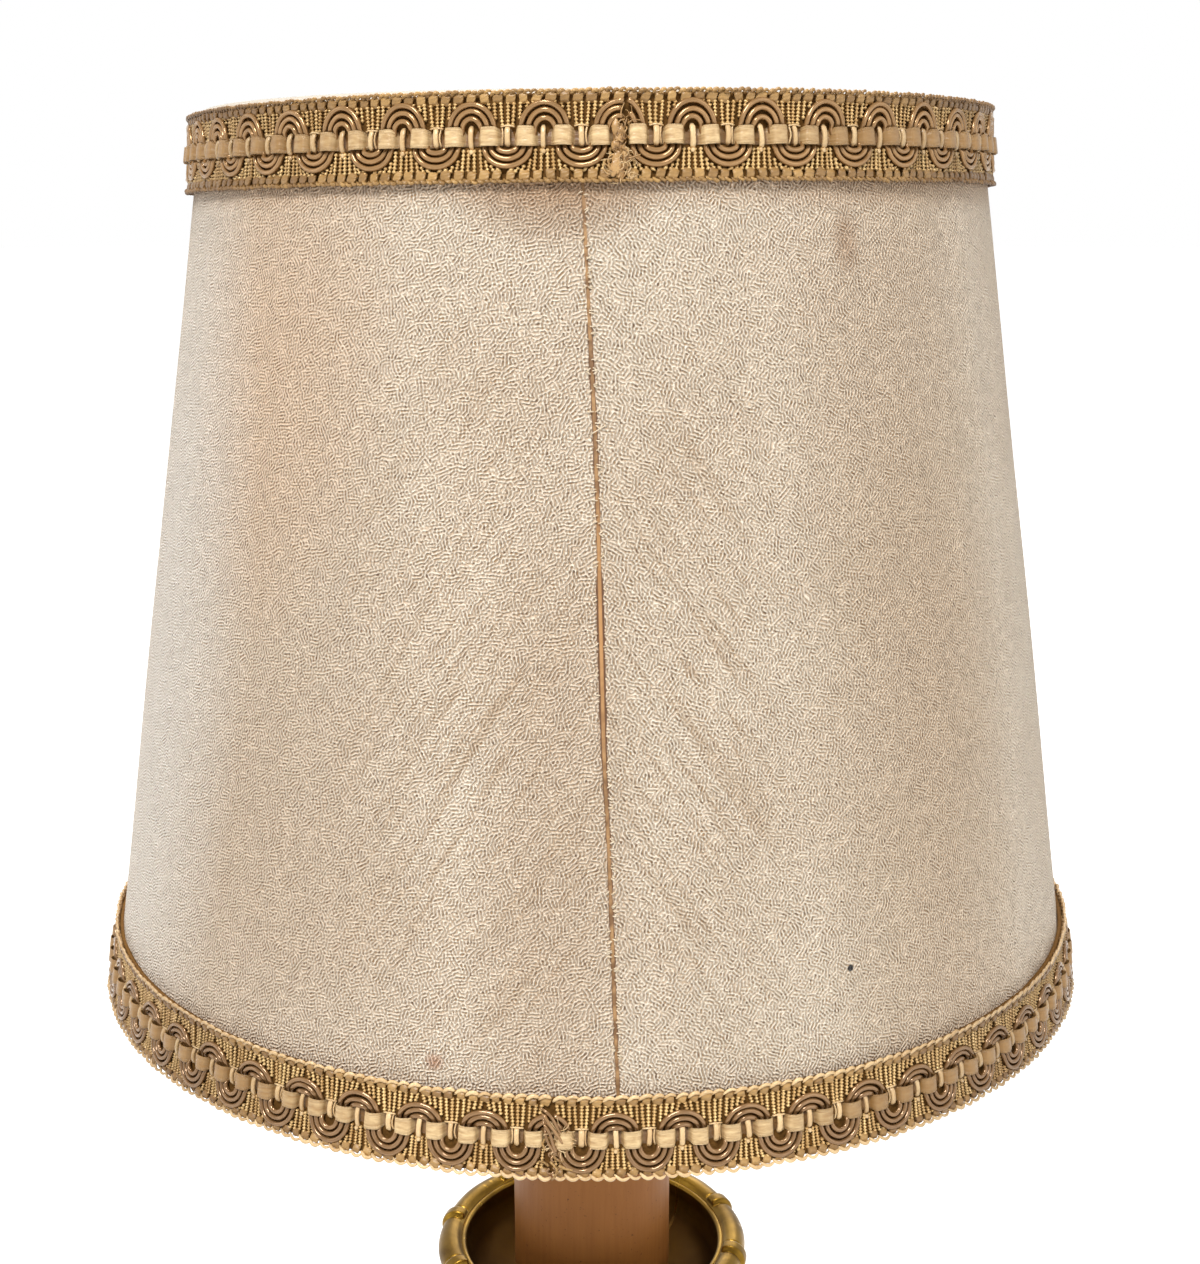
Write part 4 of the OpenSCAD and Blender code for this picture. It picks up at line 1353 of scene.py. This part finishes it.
def seen_directly(tree):
    """1 for rays of the camera, also by way of a mirror or through glass, and 0 for light that bounces."""
    camera = add("LightPath", "Is Camera Ray", tree=tree)
    return reckon("MAXIMUM", camera, reckon("MAXIMUM", camera.also("Is Glossy Ray"),
        camera.also("Is Transmission Ray")))


class LAMP_OT_stage(bpy.types.Operator):
    """Set the camera, the pale floor and the soft lights"""

    bl_idname = "lamp.stage"
    bl_label = "Stage"

    def execute(self, context):
        scene = context.scene
        scene.view_settings.view_transform = "Standard"
        data = bpy.data.cameras.new("photo_camera")
        data.sensor_width = SENSOR
        data.lens = FOCAL_PX * SENSOR / max(PHOTO_SIZE)
        data.clip_start = 0.01
        camera = bpy.data.objects.new("photo_camera", data)
        camera.location = (0.0, -CAMERA_DISTANCE, SHADE_Z + CAMERA_UP_SHADE)
        camera.rotation_euler = (math.pi / 2 - CAMERA_PITCH_DOWN, 0.0, CAMERA_ROLL)
        scene.collection.objects.link(camera)
        scene.camera = camera

        sides = 96
        angle = np.arange(sides) * TAU / sides
        rim = np.stack([FLOOR_RADIUS * np.cos(angle), FLOOR_RADIUS * np.sin(angle), 0 * angle + FLOOR_Z],
            axis=-1)
        mesh = bpy.data.meshes.new("floor")
        mesh.from_pydata(rim.tolist(), [], [tuple(range(sides))])
        floor = bpy.data.objects.new("floor", mesh)
        scene.collection.objects.link(floor)
        mesh.materials.append(self.floor_material())
        self.world(scene)
        for light in LIGHTS:
            self.lamp(*light)
        return {"FINISHED"}

    def floor_material(self):
        """Pale floor that looks white but takes the lamp's shadow, and is clear when seen from below.

        Its own glow grows from 0.5 at 0.7 metres from the lamp to 0.85 at 2.5 metres.
        """
        finish = Finish("pale_floor")
        tree = finish.tree
        reach = add("VectorMath", "Value", {0: finish.place()}, operation="LENGTH")
        far = add("MapRange", 0, {0: reach, 1: 0.7, 2: 2.5, 3: 0.5, 4: 0.85})
        glow = add("Emission", 0, {"Color": WHITE, "Strength": seen_directly(tree) * far})
        both = add("AddShader", 0, {0: Field(tree.nodes["Principled BSDF"].outputs[0]), 1: glow})
        below = add("NewGeometry", "Backfacing", tree=tree)
        clear = add("BsdfTransparent", 0, tree=tree)
        surface = add("MixShader", 0, {0: below, 1: both, 2: clear})
        put(tree.nodes["Material Output"].inputs["Surface"], surface)
        return finish.shade(Base_Color=(0.62, 0.62, 0.61, 1.0), Roughness=0.9)

    def world(self, scene):
        """White room that lights the lamp less than it looks bright."""
        scene.world = bpy.data.worlds.new("soft_room")
        scene.world.use_nodes = True
        tree = scene.world.node_tree
        background = tree.nodes["Background"].inputs
        put(background["Color"], WHITE)
        put(background["Strength"], 0.32 + seen_directly(tree) * 0.68)

    def lamp(self, name, place, size, power):
        """A round soft light that is turned to the lit point."""
        data = bpy.data.lights.new(name, "AREA")
        data.shape = "DISK"
        data.size = size
        data.energy = power
        light = bpy.data.objects.new(name, data)
        light.location = place
        x, y, z = np.array(place) - np.array(LIT_POINT)
        light.rotation_euler = (math.atan2(math.hypot(x, y), z), 0.0, math.atan2(y, x) + math.pi / 2)
        bpy.context.scene.collection.objects.link(light)


OPERATORS = (
    LAMP_OT_stage, LAMP_OT_effects, LAMP_OT_shade_skin, LAMP_OT_seam, LAMP_OT_braid_finishes,
    LAMP_OT_top_braid, LAMP_OT_bottom_braid, LAMP_OT_drip_pan, LAMP_OT_candle_sleeve, LAMP_OT_stem_and_foot,
    LAMP_OT_holder_and_bulb)


class LAMP_PT_panel(bpy.types.Panel):
    """Lists the lamp's pieces, its sizes and its colours"""

    bl_idname = "LAMP_PT_panel"
    bl_label = "Candle Lamp"
    bl_space_type = "VIEW_3D"
    bl_region_type = "UI"
    bl_category = "Candle Lamp"

    def draw(self, context):
        for group in (context.scene.lamp_sizes, context.scene.lamp_colours):
            box = self.layout.box()
            for name in group.__annotations__:
                box.prop(group, name)
        for operator in OPERATORS:
            self.layout.operator(operator.bl_idname)


def register():
    for item in (LampSizes, LampColours, *OPERATORS, LAMP_PT_panel):
        bpy.utils.register_class(item)
    bpy.types.Scene.lamp_sizes = bpy.props.PointerProperty(type=LampSizes)
    bpy.types.Scene.lamp_colours = bpy.props.PointerProperty(type=LampColours)


def unregister():
    del bpy.types.Scene.lamp_sizes
    del bpy.types.Scene.lamp_colours
    for item in (LAMP_PT_panel, *reversed(OPERATORS), LampColours, LampSizes):
        bpy.utils.unregister_class(item)


def main():
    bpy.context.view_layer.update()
    register()
    for operator in OPERATORS:
        group, name = operator.bl_idname.split(".")
        getattr(getattr(bpy.ops, group), name)()


if __name__ == "__main__":
    main()
